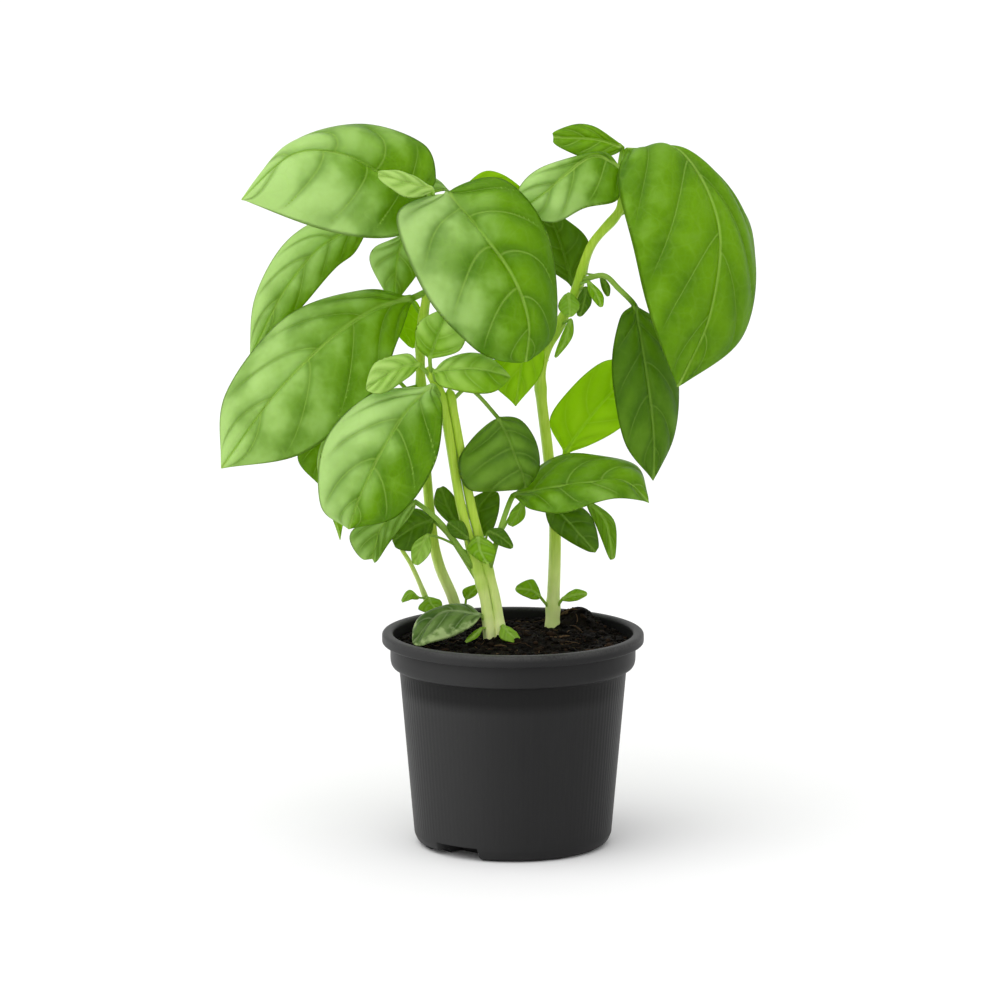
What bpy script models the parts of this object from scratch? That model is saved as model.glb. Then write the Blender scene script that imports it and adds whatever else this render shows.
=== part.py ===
"""Potted basil: a nursery pot, its soil, five stems and the leaves, each one closed solid.

Sizes are in millimetres here and become metres where each mesh is made. The origin is on the
ground under the pot's centre, the front of the plant faces -Y and up is +Z.
"""

import math

import bmesh
import bpy
import numpy as np

mm = 0.001
gap = 0.3  # clearance between pieces that touch

# pot
potHeight = 86.3
lipRadius = 52.5
lipDrop = 4.5
collarRadius = 49.2
collarFoot = 72.5
wallTopRadius = 45.7
wallFootRadius = 39.7
contactRadius = 36.0
footChamfer = 4.2
wallThickness = 1.2
ledgeDrop = 1.5  # how far below the collar's foot the wall begins to step out
lipBend = 1.0
potSegments = 64

# Notches in the pot's foot, each under a raised pocket of its floor: the angle of its middle from
# the front towards -X, its width in degrees, its height, how far in it reaches, any drain holes.
notches = {
    "front_slot": {"middle": 35.5, "span": 31.0, "height": 5.4, "near": 26.0, "holes": 2},
    "front_step": {"middle": 57.5, "span": 17.0, "height": 2.0, "near": 32.0, "holes": 0},
    "back_slot": {"middle": 215.5, "span": 31.0, "height": 5.4, "near": 26.0, "holes": 2},
    "back_step": {"middle": 237.5, "span": 17.0, "height": 2.0, "near": 32.0, "holes": 0},
}
drainRadius = 3.0
drainDistance = 31.0  # from the pot's axis
drainAngle = 8.0  # on each side of a notch's middle
drainSides = 16
pocketEdge = 0.2  # how far a pocket runs out past the contact ring
pocketSlope = 0.76  # its outer side's slope, as a share of the foot's own

# soil
soilLevel = 82.0
soilDrop = 1.5  # from the middle to the edge
soilSegments = 40

# leaves
leafHalfThickness = 0.3
bladeBulge = 0.07  # how far each half of a blade rises, as a share of its width
stalkFade = 3.0  # a stalk's thickness is gone a third of the way up the midrib
onePointOval = 0.7
twoPointOval = 0.25
largeLeafSteps = (0.04, 0.12, 0.22, 0.34, 0.47, 0.6, 0.72, 0.84, 0.94, 1.0)
smallLeafSteps = (0.12, 0.32, 0.55, 0.78, 1.0)
smallLeafLength = 31.0  # up to here a leaf is an oval
stemSides = 8

# colours and roughness
potColour, potRoughness = (0.035, 0.035, 0.038), 0.55
soilColour, soilRoughness = (0.03, 0.022, 0.016), 0.95
stemColour, stemRoughness = (0.36, 0.55, 0.12), 0.45
leafColour, leafRoughness = (0.16, 0.36, 0.03), 0.4
darkLeafColour = (0.08, 0.22, 0.02)
youngLeafColour = (0.25, 0.48, 0.06)

# Each stem: centre points from the soil up, radius at the foot and at the top.
stems = {
    "left_stem": {
        "points": [(-21.5, 33, 82.3), (-24.5, 32, 94), (-30, 30, 108), (-33, 27, 125), (-36, 20, 165),
                   (-37, 12, 200), (-34, 8, 223), (-30, 4, 252)],
        "radii": (2.0, 1.3),
    },
    "front_stem_left": {
        "points": [(-9, -2, 82.3), (-11, -2.5, 99), (-15, -3, 115), (-21, -4, 139), (-27, -5, 175),
                   (-30.5, -5, 187), (-34, -5.5, 194)],
        "radii": (1.9, 1.5),
    },
    "front_stem_right": {
        "points": [(-5, -1, 82.3), (-7, -1.5, 99), (-11, -2, 115), (-17, -3, 139), (-23, -4, 172),
                   (-25.5, -4, 185)],
        "radii": (1.9, 1.5),
    },
    "right_stem": {
        "points": [(16, 25, 82.3), (17, 22, 127), (14, 20, 156), (11, 17, 184), (13, 16, 197),
                   (19, 15, 209), (25, 14, 221), (31, 12, 240), (42, 10, 254), (44, 10, 265)],
        "radii": (2.3, 1.4),
    },
    "seedling_stem": {
        "points": [(-31, 26, 82.3), (-36, 24, 97), (-41, 22, 109), (-45, 21, 116), (-48, 19, 124)],
        "radii": (0.8, 0.6),
    },
}

# Each leaf: the stem and height it grows from, its stalk's radius and any points that the stalk
# passes, its midrib from blade base to tip, and the blade's two edges. Left and right are as seen
# on the upper face with the tip pointing up. "oval" is how much rounder its ends are than a curve
# through the edge points.
leaves = {
    "leaf_top_left": {
        "on": ("left_stem", 248), "stalk": 1.2,
        "rib": [(-35, 1, 261), (-51, -2, 270), (-68, -5, 279), (-87, -9, 279), (-107, -14, 262)],
        "left": [(-40, -8, 249), (-59, -17, 247), (-85, -19, 254)],
        "right": [(-30.5, 6, 268), (-36, 10, 281), (-60, 12, 289), (-88, 3, 282)],
    },
    "leaf_top_small": {
        "on": ("left_stem", 250), "stalk": 0.9,
        "rib": [(-32, -7, 265), (-41, -12, 268), (-53, -16, 272)],
        "left": [(-42, -16, 263)],
        "right": [(-43, -8, 272)],
    },
    "leaf_front_centre": {
        "on": ("left_stem", 245), "stalk": 1.2, "oval": 0.3,
        "rib": [(-26, -4, 263), (-12, -14, 248), (0, -21, 232), (6, -25, 215), (5, -26, 199)],
        "left": [(-3, -4, 266), (14, -8, 246), (16, -18, 213)],
        "right": [(-43, -16, 253), (-33, -26, 224), (-14, -28, 206)],
    },
    "leaf_back_left": {
        "on": ("left_stem", 246), "stalk": 1.0,
        "rib": [(-56, 20, 251), (-70, 21, 243), (-80, 18, 236), (-93, 14, 219), (-105, 8, 195)],
        "left": [(-63, 18, 237), (-71, 15, 231), (-84, 12, 216)],
        "right": [(-75, 26, 250), (-91, 22, 240), (-103, 16, 219)],
    },
    "leaf_big_left": {
        "on": ("left_stem", 222), "stalk": 1.3,
        "rib": [(-40, 6, 220), (-57, 1, 215), (-75, -6, 203), (-95, -10, 183), (-116, -10, 154)],
        "left": [(-46, -4, 204), (-56, -12, 184), (-83, -14, 161)],
        "right": [(-60, 8, 223), (-91, 4, 212), (-114, -4, 183)],
    },
    "leaf_centre_left": {
        "on": ("front_stem_left", 182), "stalk": 1.2,
        "rib": [(-32, -10, 187), (-42, -18, 178), (-52, -25, 163), (-60, -29, 147), (-65, -30, 133)],
        "left": [(-28, -20, 179), (-31, -27, 159), (-45, -31, 139)],
        "right": [(-56, -12, 184), (-74, -18, 167), (-76, -25, 142)],
    },
    "young_leaf_upper": {
        "on": ("front_stem_left", 191), "stalk": 0.8,
        "rib": [(-33, -9, 198), (-30, -11, 207), (-26, -9, 218)],
        "left": [(-38, -12, 204), (-37, -12, 212.5)],
        "right": [(-21.5, -14, 202), (-19, -14, 210)],
    },
    "young_leaf_right": {
        "on": ("front_stem_left", 188), "stalk": 0.8,
        "rib": [(-31, -10.5, 193), (-15, -14, 194.5), (-1, -11, 191)],
        "left": [(-24, -8.5, 198.5), (-12, -9, 199.5)],
        "right": [(-27, -16, 187.5), (-10, -17, 185.5)],
    },
    "young_leaf_left": {
        "on": ("front_stem_left", 190), "stalk": 0.8,
        "rib": [(-37, -9, 195.5), (-46, -15, 194.5), (-58, -18, 187)],
        "left": [(-42, -15, 191), (-51, -20, 186)],
        "right": [(-42.5, -8, 199.5), (-54, -14, 197)],
    },
    "leaf_centre_bright": {
        "on": ("right_stem", 205), "stalk": 0.9, "via": [(14, 5, 213), (11.5, 1, 219)],
        "rib": [(9, -1, 218), (4, -3, 198), (1, -4, 178)],
        "left": [(12, -2, 194)],
        "right": [(-9, -2, 192)],
    },
    "leaf_hanging_left": {
        "on": ("left_stem", 238), "stalk": 0.9, "via": [(-36, 6, 243), (-40, 5, 247)],
        "rib": [(-43, 7, 246), (-46, 13, 235), (-48, 17, 215)],
        "left": [(-36, 12, 234)],
        "right": [(-57, 13, 236)],
    },
    "leaf_left_inner": {
        "on": ("left_stem", 212), "stalk": 0.7,
        "rib": [(-41, 16, 218), (-44, 18, 208), (-40, 18, 198)],
        "left": [(-36, 20, 208)],
        "right": [(-50, 17, 210)],
    },
    "leaf_right_behind": {
        "on": ("right_stem", 138), "stalk": 1.0,
        "rib": [(21, 26, 154), (27, 27, 163), (34, 28, 172), (42, 28, 181), (51, 27, 191)],
        "left": [(15, 30, 167), (24, 32, 180), (37, 30, 191)],
        "right": [(31, 24, 158), (42, 24, 164), (53, 24, 175)],
    },
    "leaf_right_hanging": {
        "on": ("right_stem", 226), "stalk": 1.1, "via": [(36, 6, 229), (42, 4, 224)],
        "rib": [(48, 2, 218), (51, -1, 202), (54, -3, 184), (56, -4, 166), (56, -4, 148)],
        "left": [(59, 6, 209), (66, 6, 188), (64, 2, 165)],
        "right": [(42, -2, 212), (39.5, -5, 190), (44.5, -6, 164)],
    },
    "leaf_big_right": {
        "on": ("right_stem", 261), "stalk": 1.4,
        "rib": [(45, 12, 278), (66, 7, 279), (81, -6, 252), (78, -16, 218), (65, -20, 188)],
        "left": [(88, 16, 258), (96, 4, 235), (90.5, -8, 206)],
        "right": [(41.4, -6, 268), (48.4, -18, 238), (55.8, -22, 211)],
    },
    "leaf_top_centre": {
        "on": ("right_stem", 261), "stalk": 1.1,
        "rib": [(43.5, 4, 271), (32, 4, 277), (21, 2, 270), (13, 2, 263), (2, 4, 255)],
        "left": [(41, -1, 260), (28, -1, 257), (16, 0, 251)],
        "right": [(35, 8, 278), (14, 8, 273), (3, 6, 265)],
    },
    "leaf_top_wavy": {
        "on": ("right_stem", 260), "stalk": 0.9, "via": [(42, 15, 268)],
        "rib": [(43.5, 17, 279), (33, 18, 282), (16, 17, 283)],
        "left": [(30, 14, 275)],
        "right": [(29, 19, 288)],
    },
    "leaf_behind_front": {
        "on": ("left_stem", 250), "stalk": 0.9,
        "rib": [(-25, 10, 260), (-9, 15, 264), (8, 20, 259)],
        "left": [(-9, 13, 270)],
        "right": [(-9, 21, 254)],
    },
    "leaf_behind_right": {
        "on": ("right_stem", 218), "stalk": 0.8,
        "rib": [(24, 19, 223), (19, 19, 240), (13, 17, 256)],
        "left": [(7, 15, 238)],
        "right": [(30, 18, 241)],
    },
    "young_leaf_point": {
        "on": ("right_stem", 225), "stalk": 0.5,
        "rib": [(30, 3, 227), (33, 2, 222), (35, 1, 217)],
        "left": [(35.5, 2, 222)],
        "right": [(30.5, 1, 222)],
    },
    "young_leaf_dark": {
        "on": ("right_stem", 222), "stalk": 0.5,
        "rib": [(29, 8, 224), (28, 7, 218), (26.5, 6, 212.5)],
        "left": [(31.2, 8, 218)],
        "right": [(25.2, 6, 218)],
    },
    "young_leaf_pale": {
        "on": ("right_stem", 218), "stalk": 0.5,
        "rib": [(22, 5, 222), (22.5, 2, 217), (22.5, 1, 213)],
        "left": [(26.5, 3, 217.5)],
        "right": [(18, 3, 217)],
    },
    "young_leaf_tiny": {
        "on": ("right_stem", 229), "stalk": 0.4,
        "rib": [(35, 13, 228), (37, 12, 224), (38, 11, 220)],
        "left": [(38.5, 12, 224)],
        "right": [(35.5, 12, 223)],
    },
    "young_leaf_narrow": {
        "on": ("right_stem", 208), "stalk": 0.5,
        "rib": [(23, 9, 211), (21, 8, 203), (17, 9, 195.5)],
        "left": [(23.6, 9, 204)],
        "right": [(18.8, 9, 203)],
    },
    "leaf_centre_dark": {
        "on": ("front_stem_right", 181), "stalk": 0.8, "via": [(-17, -5, 185)],
        "rib": [(-6, -8, 174), (-2, -12, 167), (1, -14, 159), (4, -14, 152), (5, -12, 146)],
        "left": [(3, -6, 172), (9, -6, 164), (10, -9, 154)],
        "right": [(-16, -6, 164.5), (-21.5, -8.5, 156), (-16, -10, 146)],
    },
    "leaf_right_low": {
        "on": ("front_stem_right", 112), "stalk": 1.1, "via": [(-5, -6, 129)],
        "rib": [(0, -4, 142), (15, -10, 146), (29, -12, 148.5), (44, -10, 149), (54.5, -7, 140)],
        "left": [(12, 6, 153.5), (29, 8, 157), (49, 5, 152.5)],
        "right": [(8, -18, 138.5), (21, -24, 139), (41, -19, 143.5)],
    },
    "leaf_right_under": {
        "on": ("right_stem", 130), "stalk": 0.8,
        "rib": [(15, 0, 138), (24, -4, 129), (33, -4, 119)],
        "left": [(30, 2, 134)],
        "right": [(16, -2, 128)],
    },
    "leaf_right_narrow": {
        "on": ("right_stem", 133), "stalk": 0.6,
        "rib": [(30, 6, 138), (37, 4, 130), (40, 2, 115)],
        "left": [(40.5, 5, 130)],
        "right": [(34, 3, 127)],
    },
    "leaf_low_tip": {
        "on": ("front_stem_right", 116), "stalk": 0.6, "via": [(-2, 7, 130), (3, 8, 137)],
        "rib": [(4, 5, 138), (2.5, 2.5, 134), (-1, 0, 129)],
        "left": [(4.5, 2, 132)],
        "right": [(-1, 2, 134)],
    },
    "leaf_behind_stems": {
        "on": ("front_stem_right", 118), "stalk": 0.6,
        "rib": [(-12, 4, 124), (-14, 6, 134), (-8, 8, 142)],
        "left": [(-19, 6, 136)],
        "right": [(-6, 6, 133)],
    },
    "leaf_beside_stems": {
        "on": ("front_stem_left", 120), "stalk": 0.6,
        "rib": [(-22, 2, 128), (-26, 3, 136), (-29, 4, 144)],
        "left": [(-31, 3, 136)],
        "right": [(-23, 4, 139)],
    },
    "young_leaf_stem_left": {
        "on": ("front_stem_left", 121), "stalk": 0.5,
        "rib": [(-18, -7, 125), (-22, -9, 129), (-26, -10, 132)],
        "left": [(-24, -11, 127)],
        "right": [(-20, -8, 132)],
    },
    "young_leaf_stem_front": {
        "on": ("front_stem_left", 118), "stalk": 0.6,
        "rib": [(-14, -8, 126), (-13, -12, 121), (-10, -13, 116)],
        "left": [(-7, -11, 122)],
        "right": [(-18, -10, 121)],
    },
    "young_leaf_stem_right": {
        "on": ("front_stem_right", 120), "stalk": 0.5,
        "rib": [(-10, -7, 128), (-5, -9, 126), (0, -10, 122)],
        "left": [(-4, -8, 129)],
        "right": [(-7, -11, 124)],
    },
    "leaf_low_left": {
        "on": ("front_stem_left", 112), "stalk": 1.0, "via": [(-28, -9, 131)],
        "rib": [(-39, -12, 141), (-51, -14, 133), (-56, -14, 118)],
        "left": [(-49, -13.5, 125)],
        "right": [(-64, -12, 129)],
    },
    "leaf_low_left_dark": {
        "on": ("front_stem_left", 106), "stalk": 0.7, "via": [(-25, -1, 124)],
        "rib": [(-32, -4, 132), (-39, -7, 130), (-48, -8, 124)],
        "left": [(-37, -8, 121)],
        "right": [(-41, -2, 136)],
    },
    "leaf_low_left_pale": {
        "on": ("front_stem_left", 118), "stalk": 0.5, "via": [(-27, -4, 124)],
        "rib": [(-34, -14, 128), (-36.5, -15, 123), (-39, -15, 116)],
        "left": [(-33, -15, 121)],
        "right": [(-40, -15, 123.5)],
    },
    "leaf_left_edge": {
        "on": ("left_stem", 183), "stalk": 0.8,
        "rib": [(-67, 2, 178), (-75, -1, 151), (-69, -4, 124)],
        "left": [(-65, 0, 151)],
        "right": [(-78, 0, 155)],
    },
    "leaf_left_lower": {
        "on": ("left_stem", 176), "stalk": 0.8, "via": [(-50, 17, 188), (-61, 15, 188)],
        "rib": [(-67, 13, 181), (-74, 12, 160), (-76, 10, 142)],
        "left": [(-64, 12, 162)],
        "right": [(-86, 11, 157)],
    },
    "seed_leaf_right_a": {
        "on": ("right_stem", 91), "stalk": 0.6,
        "rib": [(11, 22, 96), (7, 20, 99), (1, 18, 100)],
        "left": [(7, 18, 96)],
        "right": [(8, 22, 103)],
    },
    "seed_leaf_right_b": {
        "on": ("right_stem", 91), "stalk": 0.6,
        "rib": [(20, 22, 95), (25, 20, 97), (30, 18, 98)],
        "left": [(25, 22, 99)],
        "right": [(25, 18, 95)],
    },
    "seedling_behind": {
        "foot": (-20, 28, 82.3), "stalk": 0.5,
        "rib": [(-19, 28, 94), (-17, 27, 97), (-14, 26, 100)],
        "left": [(-20, 27, 98)],
        "right": [(-15, 26, 96)],
    },
    "seed_leaf_left_pale": {
        "on": ("seedling_stem", 95), "stalk": 0.4,
        "rib": [(-38, 20, 96), (-41, 19, 98), (-45, 18, 95)],
        "left": [(-41, 16, 96)],
        "right": [(-42, 21, 99)],
    },
    "seed_leaf_left_round": {
        "on": ("seedling_stem", 96), "stalk": 0.4,
        "rib": [(-34, 20, 96), (-33, 17, 94), (-30, 14, 91)],
        "left": [(-29, 17, 95)],
        "right": [(-38, 16, 92)],
    },
    "leaf_on_soil": {
        "on": ("front_stem_left", 91), "stalk": 0.8,
        "rib": [(-13, -4, 93.5), (-28, -4, 94.5), (-40, -13, 84)],
        "left": [(-20, -12, 88.5), (-34, -17, 84.4)],
        "right": [(-21, 4, 96.5), (-37, -1, 92.5)],
    },
    "base_leaf_left": {
        "on": ("front_stem_left", 88), "stalk": 0.5,
        "rib": [(-12.5, -6, 88.5), (-14.5, -8, 86.5), (-19, -10, 83.6)],
        "left": [(-14.2, -9, 85.5)],
        "right": [(-16.2, -7.2, 87)],
    },
    "base_leaf_right": {
        "on": ("front_stem_right", 88), "stalk": 0.5,
        "rib": [(-4, -5, 89.5), (-2, -6.5, 87), (2.5, -8, 83.6)],
        "left": [(1, -5, 87)],
        "right": [(-5, -9, 85)],
    },
    "back_leaf_centre": {
        "on": ("left_stem", 200), "stalk": 1.0,
        "rib": [(-28, 26, 205), (-14, 40, 208), (0, 54, 190)],
        "left": [(-24, 48, 200)],
        "right": [(0, 34, 202)],
    },
    "back_leaf_right": {
        "on": ("right_stem", 250), "stalk": 1.0, "via": [(44, 18, 253)],
        "rib": [(54, 26, 256), (66, 42, 250), (78, 54, 230)],
        "left": [(84, 38, 243)],
        "right": [(54, 54, 238)],
    },
    "back_leaf_left": {
        "on": ("left_stem", 163), "stalk": 1.1,
        "rib": [(-48, 32, 172), (-64, 46, 175), (-80, 56, 158)],
        "left": [(-72, 34, 164)],
        "right": [(-52, 58, 168)],
    },
    "back_leaf_top": {
        "on": ("left_stem", 250), "stalk": 1.0,
        "rib": [(-34, 18, 262), (-39, 32, 266), (-48, 46, 254)],
        "left": [(-52, 32, 260)],
        "right": [(-26, 40, 259)],
    },
    "back_leaf_middle": {
        "on": ("right_stem", 182), "stalk": 1.0,
        "rib": [(8, 30, 190), (0, 44, 196), (-6, 57, 184)],
        "left": [(14, 50, 188)],
        "right": [(-14, 40, 188)],
    },
}


def along(points, amounts):
    """Points on a smooth curve through the given ones, at amounts from 0 (first) to 1 (last)."""
    points = np.asarray(points, float)
    padded = np.vstack([2 * points[0] - points[1], points, 2 * points[-1] - points[-2]])
    place = np.clip(np.asarray(amounts, float), 0, 1) * (len(points) - 1)
    piece = np.minimum(place.astype(int), len(points) - 2)
    t = (place - piece)[:, None]
    a, b, c, d = (padded[piece + k] for k in range(4))
    return 0.5 * (2 * b + (c - a) * t + (2 * a - 5 * b + 4 * c - d) * t**2
                  + (3 * b - a - 3 * c + d) * t**3)


def unit(vectors):
    return vectors / np.linalg.norm(vectors, axis=-1, keepdims=True)


def addObject(name, points, faces, colour, roughness, smooth=True):
    """One object from points in millimetres, with a material of its own."""
    mesh = bpy.data.meshes.new(name)
    mesh.from_pydata((np.asarray(points) * mm).tolist(), [], faces)
    if smooth:
        mesh.shade_smooth()
        mesh.set_sharp_from_angle(angle=math.radians(50))
    material = bpy.data.materials.new(name)
    material.use_nodes = True
    shader = material.node_tree.nodes["Principled BSDF"]
    shader.inputs["Base Color"].default_value = (*colour, 1.0)
    shader.inputs["Roughness"].default_value = roughness
    shader.inputs["Metallic"].default_value = 0.0
    mesh.materials.append(material)
    piece = bpy.data.objects.new(name, mesh)
    bpy.context.scene.collection.objects.link(piece)
    return piece


def tubeFaces(rings, sides):
    """Faces of a tube of rings with its two ends closed, facing out."""
    faces = []
    for ring in range(rings - 1):
        low, high = ring * sides, (ring + 1) * sides
        for side in range(sides):
            following = (side + 1) % sides
            faces.append((low + side, low + following, high + following, high + side))
    faces.append(tuple(range(sides))[::-1])
    faces.append(tuple((rings - 1) * sides + side for side in range(sides)))
    return faces


def lathe(profile, segments):
    """A closed ring of profile points (radius, height) turned about Z; radius 0 makes a pole."""
    angles = np.linspace(0, 2 * math.pi, segments, endpoint=False)
    work = bmesh.new()
    rings = []
    for radius, height in profile:
        if radius == 0:
            rings.append([work.verts.new((0, 0, height))] * segments)
        else:
            rings.append([work.verts.new((radius * math.cos(a), radius * math.sin(a), height))
                          for a in angles])
    for here, there in zip(rings, rings[1:]):
        for k in range(segments):
            corners = [here[k], here[k - 1], there[k - 1], there[k]]
            corners = list(dict.fromkeys(corners))
            if len(corners) > 2:
                work.faces.new(corners)
    bmesh.ops.recalc_face_normals(work, faces=work.faces)
    points = [tuple(vertex.co) for vertex in work.verts]
    work.verts.index_update()
    faces = [tuple(vertex.index for vertex in face.verts) for face in work.faces]
    work.free()
    return points, faces


def wallRadius(height):
    """The pot wall's outer radius at a height between the foot and the collar."""
    share = (height - footChamfer) / (collarFoot - footChamfer)
    return wallFootRadius + (wallTopRadius - wallFootRadius) * share


def cutter(name, points, faces):
    """A hidden mesh for a Boolean."""
    tool = addObject(name, points, faces, (1, 0, 0), 0.5, smooth=False)
    tool.hide_render = True
    tool.display_type = "WIRE"
    return tool


def sector(name, notch, near, span, levels):
    """A hidden block round a notch's middle: each level is a height, an outer radius and a share
    of the span."""
    turns = np.radians(np.linspace(-span / 2, span / 2, 9))
    middle = math.radians(notch["middle"])
    ring = []
    for height, far, share in levels:
        for radius, order in ((near, turns), (far, turns[::-1])):
            ring += [(-radius * math.sin(middle + turn * share),
                      -radius * math.cos(middle + turn * share), height) for turn in order]
    return cutter(name, ring, tubeFaces(len(levels), 2 * len(turns)))


def pocket(name, notch, margin):
    """The block that a notch's pocket fills, grown by a margin."""
    top = notch["height"] + wallThickness + margin
    edge = contactRadius + pocketEdge + margin
    slope = (wallFootRadius - contactRadius) * pocketSlope / footChamfer
    span = notch["span"] + 2 * math.degrees((wallThickness + margin) / drainDistance)
    levels = [(wallThickness / 2 - margin, edge + slope * wallThickness / 2, 1.0),
              (top, edge + slope * min(top, footChamfer), 1.0)]
    return sector(name, notch, notch["near"] - wallThickness - margin, span, levels)


def combine(piece, tool, operation):
    step = piece.modifiers.new(tool.name, "BOOLEAN")
    step.operation = operation
    step.object = tool


def makePot():
    """The pot: rolled lip, collar, tapered wall, flat floor, and the notches in its foot."""
    inner = collarRadius - wallThickness
    step = collarFoot - ledgeDrop
    profile = [
        (0, 0.0),
        (contactRadius, 0.0),
        (wallFootRadius - 1.3, footChamfer * 0.35),
        (wallFootRadius, footChamfer),
        (wallRadius(step), step),
        (collarRadius, collarFoot + 0.4),
        (collarRadius, potHeight - 1.3),
        (lipRadius - 1.1, potHeight - 1.3),
        (lipRadius - 1.1, potHeight - lipDrop),
        (lipRadius, potHeight - lipDrop),
        (lipRadius, potHeight - lipBend),
        (lipRadius - 0.9, potHeight),
        (inner + 0.8, potHeight),
        (inner, potHeight - 0.8),
        (inner, collarFoot + 1.2),
        (wallRadius(step) - wallThickness, step + 0.2),
        (wallFootRadius - wallThickness, footChamfer + 0.3),
        (contactRadius - 0.5, wallThickness),
        (0, wallThickness),
    ]
    pot = addObject("pot", *lathe(profile, potSegments), potColour, potRoughness)
    for name, notch in notches.items():
        combine(pot, pocket(f"{name}_pocket", notch, 0.0), "UNION")
    for name, notch in notches.items():
        levels = [(-2.0, lipRadius, 1.0), (notch["height"] - 1.0, lipRadius, 1.0),
                  (notch["height"], lipRadius, 0.93)]
        combine(pot, sector(name, notch, notch["near"], notch["span"], levels), "DIFFERENCE")
        for hole in range(notch["holes"]):
            angle = math.radians(notch["middle"] + drainAngle * (2 * hole - 1))
            circle = np.linspace(0, 2 * math.pi, drainSides, endpoint=False)
            points = [(drainRadius * math.cos(a) - drainDistance * math.sin(angle),
                       drainRadius * math.sin(a) - drainDistance * math.cos(angle), level)
                      for level in (notch["height"] - 2, notch["height"] + 4) for a in circle]
            tool = cutter(f"{name}_drain_{hole}", points, tubeFaces(2, len(circle)))
            combine(pot, tool, "DIFFERENCE")


def makeSoil():
    """The soil: fills the pot's inside with a little clearance, and its top is gently domed."""
    step = collarFoot - ledgeDrop
    low = wallThickness + gap
    outline = [
        (0, low),
        (contactRadius - 1.2, low),
        (wallFootRadius - wallThickness - gap - 0.3, footChamfer + 1.0),
        (wallRadius(step) - wallThickness - gap - 0.1, step),
        (collarRadius - wallThickness - gap, collarFoot + 1.4),
        (collarRadius - wallThickness - gap, soilLevel - soilDrop),
        (collarRadius - 8.0, soilLevel - 0.4),
        (collarRadius - 20.0, soilLevel),
        (0, soilLevel),
    ]
    soil = addObject("soil", *lathe(outline, soilSegments), soilColour, soilRoughness)
    for name, notch in notches.items():
        combine(soil, pocket(f"{name}_clearance", notch, gap), "DIFFERENCE")


def stemAt(name, height):
    """A stem's centre and radius at a height."""
    stem = stems[name]
    amounts = np.linspace(0, 1, 400)
    centres = along(stem["points"], amounts)
    nearest = int(np.argmin(np.abs(centres[:, 2] - height)))
    foot, top = stem["radii"]
    return centres[nearest], foot + (top - foot) * amounts[nearest]


def makeStem(name, stem):
    """A stem: a tapering tube along its centre points, turned square to its own direction."""
    rings = 3 * len(stem["points"]) - 2
    amounts = np.linspace(0, 1, rings)
    centres = along(stem["points"], amounts)
    forward = unit(np.gradient(centres, axis=0))
    forward[0] = (0, 0, 1)
    sideways = unit(np.cross(forward, (0, -1, 0)))
    across = np.cross(sideways, forward)
    radii = np.interp(amounts, (0, 1), stem["radii"])[:, None]
    turns = np.linspace(0, 2 * math.pi, stemSides, endpoint=False) + math.pi / stemSides
    ring = [centres + radii * (sideways * math.cos(a) - across * math.sin(a)) for a in turns]
    points = np.stack(ring, axis=1).reshape(-1, 3)
    addObject(name, points, tubeFaces(rings, stemSides), stemColour, stemRoughness)


def leafStart(leaf):
    """Where a leaf's stalk begins: on its stem's skin, less the clearance, or at its foot."""
    if "foot" in leaf:
        return np.array(leaf["foot"], float)
    centre, radius = stemAt(*leaf["on"])
    towards = unit(np.array(leaf.get("via", leaf["rib"])[0], float) - centre)
    outward = unit(towards * (1, 1, 0))
    return centre + outward * (radius + gap + abs(towards[2]) * leaf["stalk"])


def leafRings(leaf):
    """A leaf's cross-sections from its stalk's foot to its tip, as eight points each.

    The blade is the surface between the midrib and the two edges. Each half bulges a little, and
    every point moves off it by a radius that shrinks from the stalk's to half the thickness.
    """
    rib, stalk = leaf["rib"], leaf["stalk"]
    edges = {side: [rib[0], *leaf[side], rib[-1]] for side in ("left", "right")}
    route = [leafStart(leaf), *leaf.get("via", []), rib[0]]
    size = float(np.linalg.norm(np.subtract(rib[0], rib[-1])))
    small = size < smallLeafLength
    steps = np.array(smallLeafSteps if small else largeLeafSteps)
    stalkSteps = np.linspace(0, 1, 2 + len(route) * (2 if "via" in leaf else 1))[:-1]
    beyond = 0.6 * np.subtract(along(rib, [0.1])[0], rib[0])
    stalkCurve = along([*route, rib[0] + beyond], stalkSteps * (len(route) - 1) / len(route))
    middle = np.vstack([stalkCurve, along(rib, [0.0]), along(rib, steps)])
    blade = np.concatenate([np.zeros(len(stalkSteps) + 1), steps])
    given = onePointOval if len(leaf["left"]) == 1 else twoPointOval
    oval = leaf.get("oval", given if small else 0.0)
    swell = (4 * blade * (1 - blade)).clip(0.08, 1) ** -oval
    left, right = (middle + swell[:, None] * (along(edges[side], blade) - middle)
                   * (blade[:, None] > 0) for side in ("left", "right"))
    forward = unit(np.gradient(middle, axis=0))
    spread = along(edges["right"], [0.5]) - along(edges["left"], [0.5])
    wide = right - left + 1e-3 * spread
    sideways = unit(wide - (wide * forward).sum(1, keepdims=True) * forward)
    for ring in range(len(stalkSteps), -1, -1):  # the stalk turns as little as it can
        turned = sideways[ring + 1]
        sideways[ring] = unit(turned - (turned @ forward[ring]) * forward[ring])
    up = np.cross(sideways, forward)
    radius = leafHalfThickness + (stalk - leafHalfThickness) * np.clip(1 - blade * stalkFade, 0, 1) ** 2
    radius = radius[:, None]
    bulge = bladeBulge * np.linalg.norm(right - left, axis=1, keepdims=True)
    slant = math.sqrt(0.5)
    halfLeft, halfRight = (middle + left) / 2 + up * bulge, (middle + right) / 2 + up * bulge
    ring = [
        right + sideways * radius,
        halfRight + (sideways + up) * slant * radius,
        middle + up * radius,
        halfLeft + (up - sideways) * slant * radius,
        left - sideways * radius,
        halfLeft - (sideways + up) * slant * radius,
        middle - up * radius,
        halfRight + (sideways - up) * slant * radius,
    ]
    return np.stack(ring, axis=1)


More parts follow.
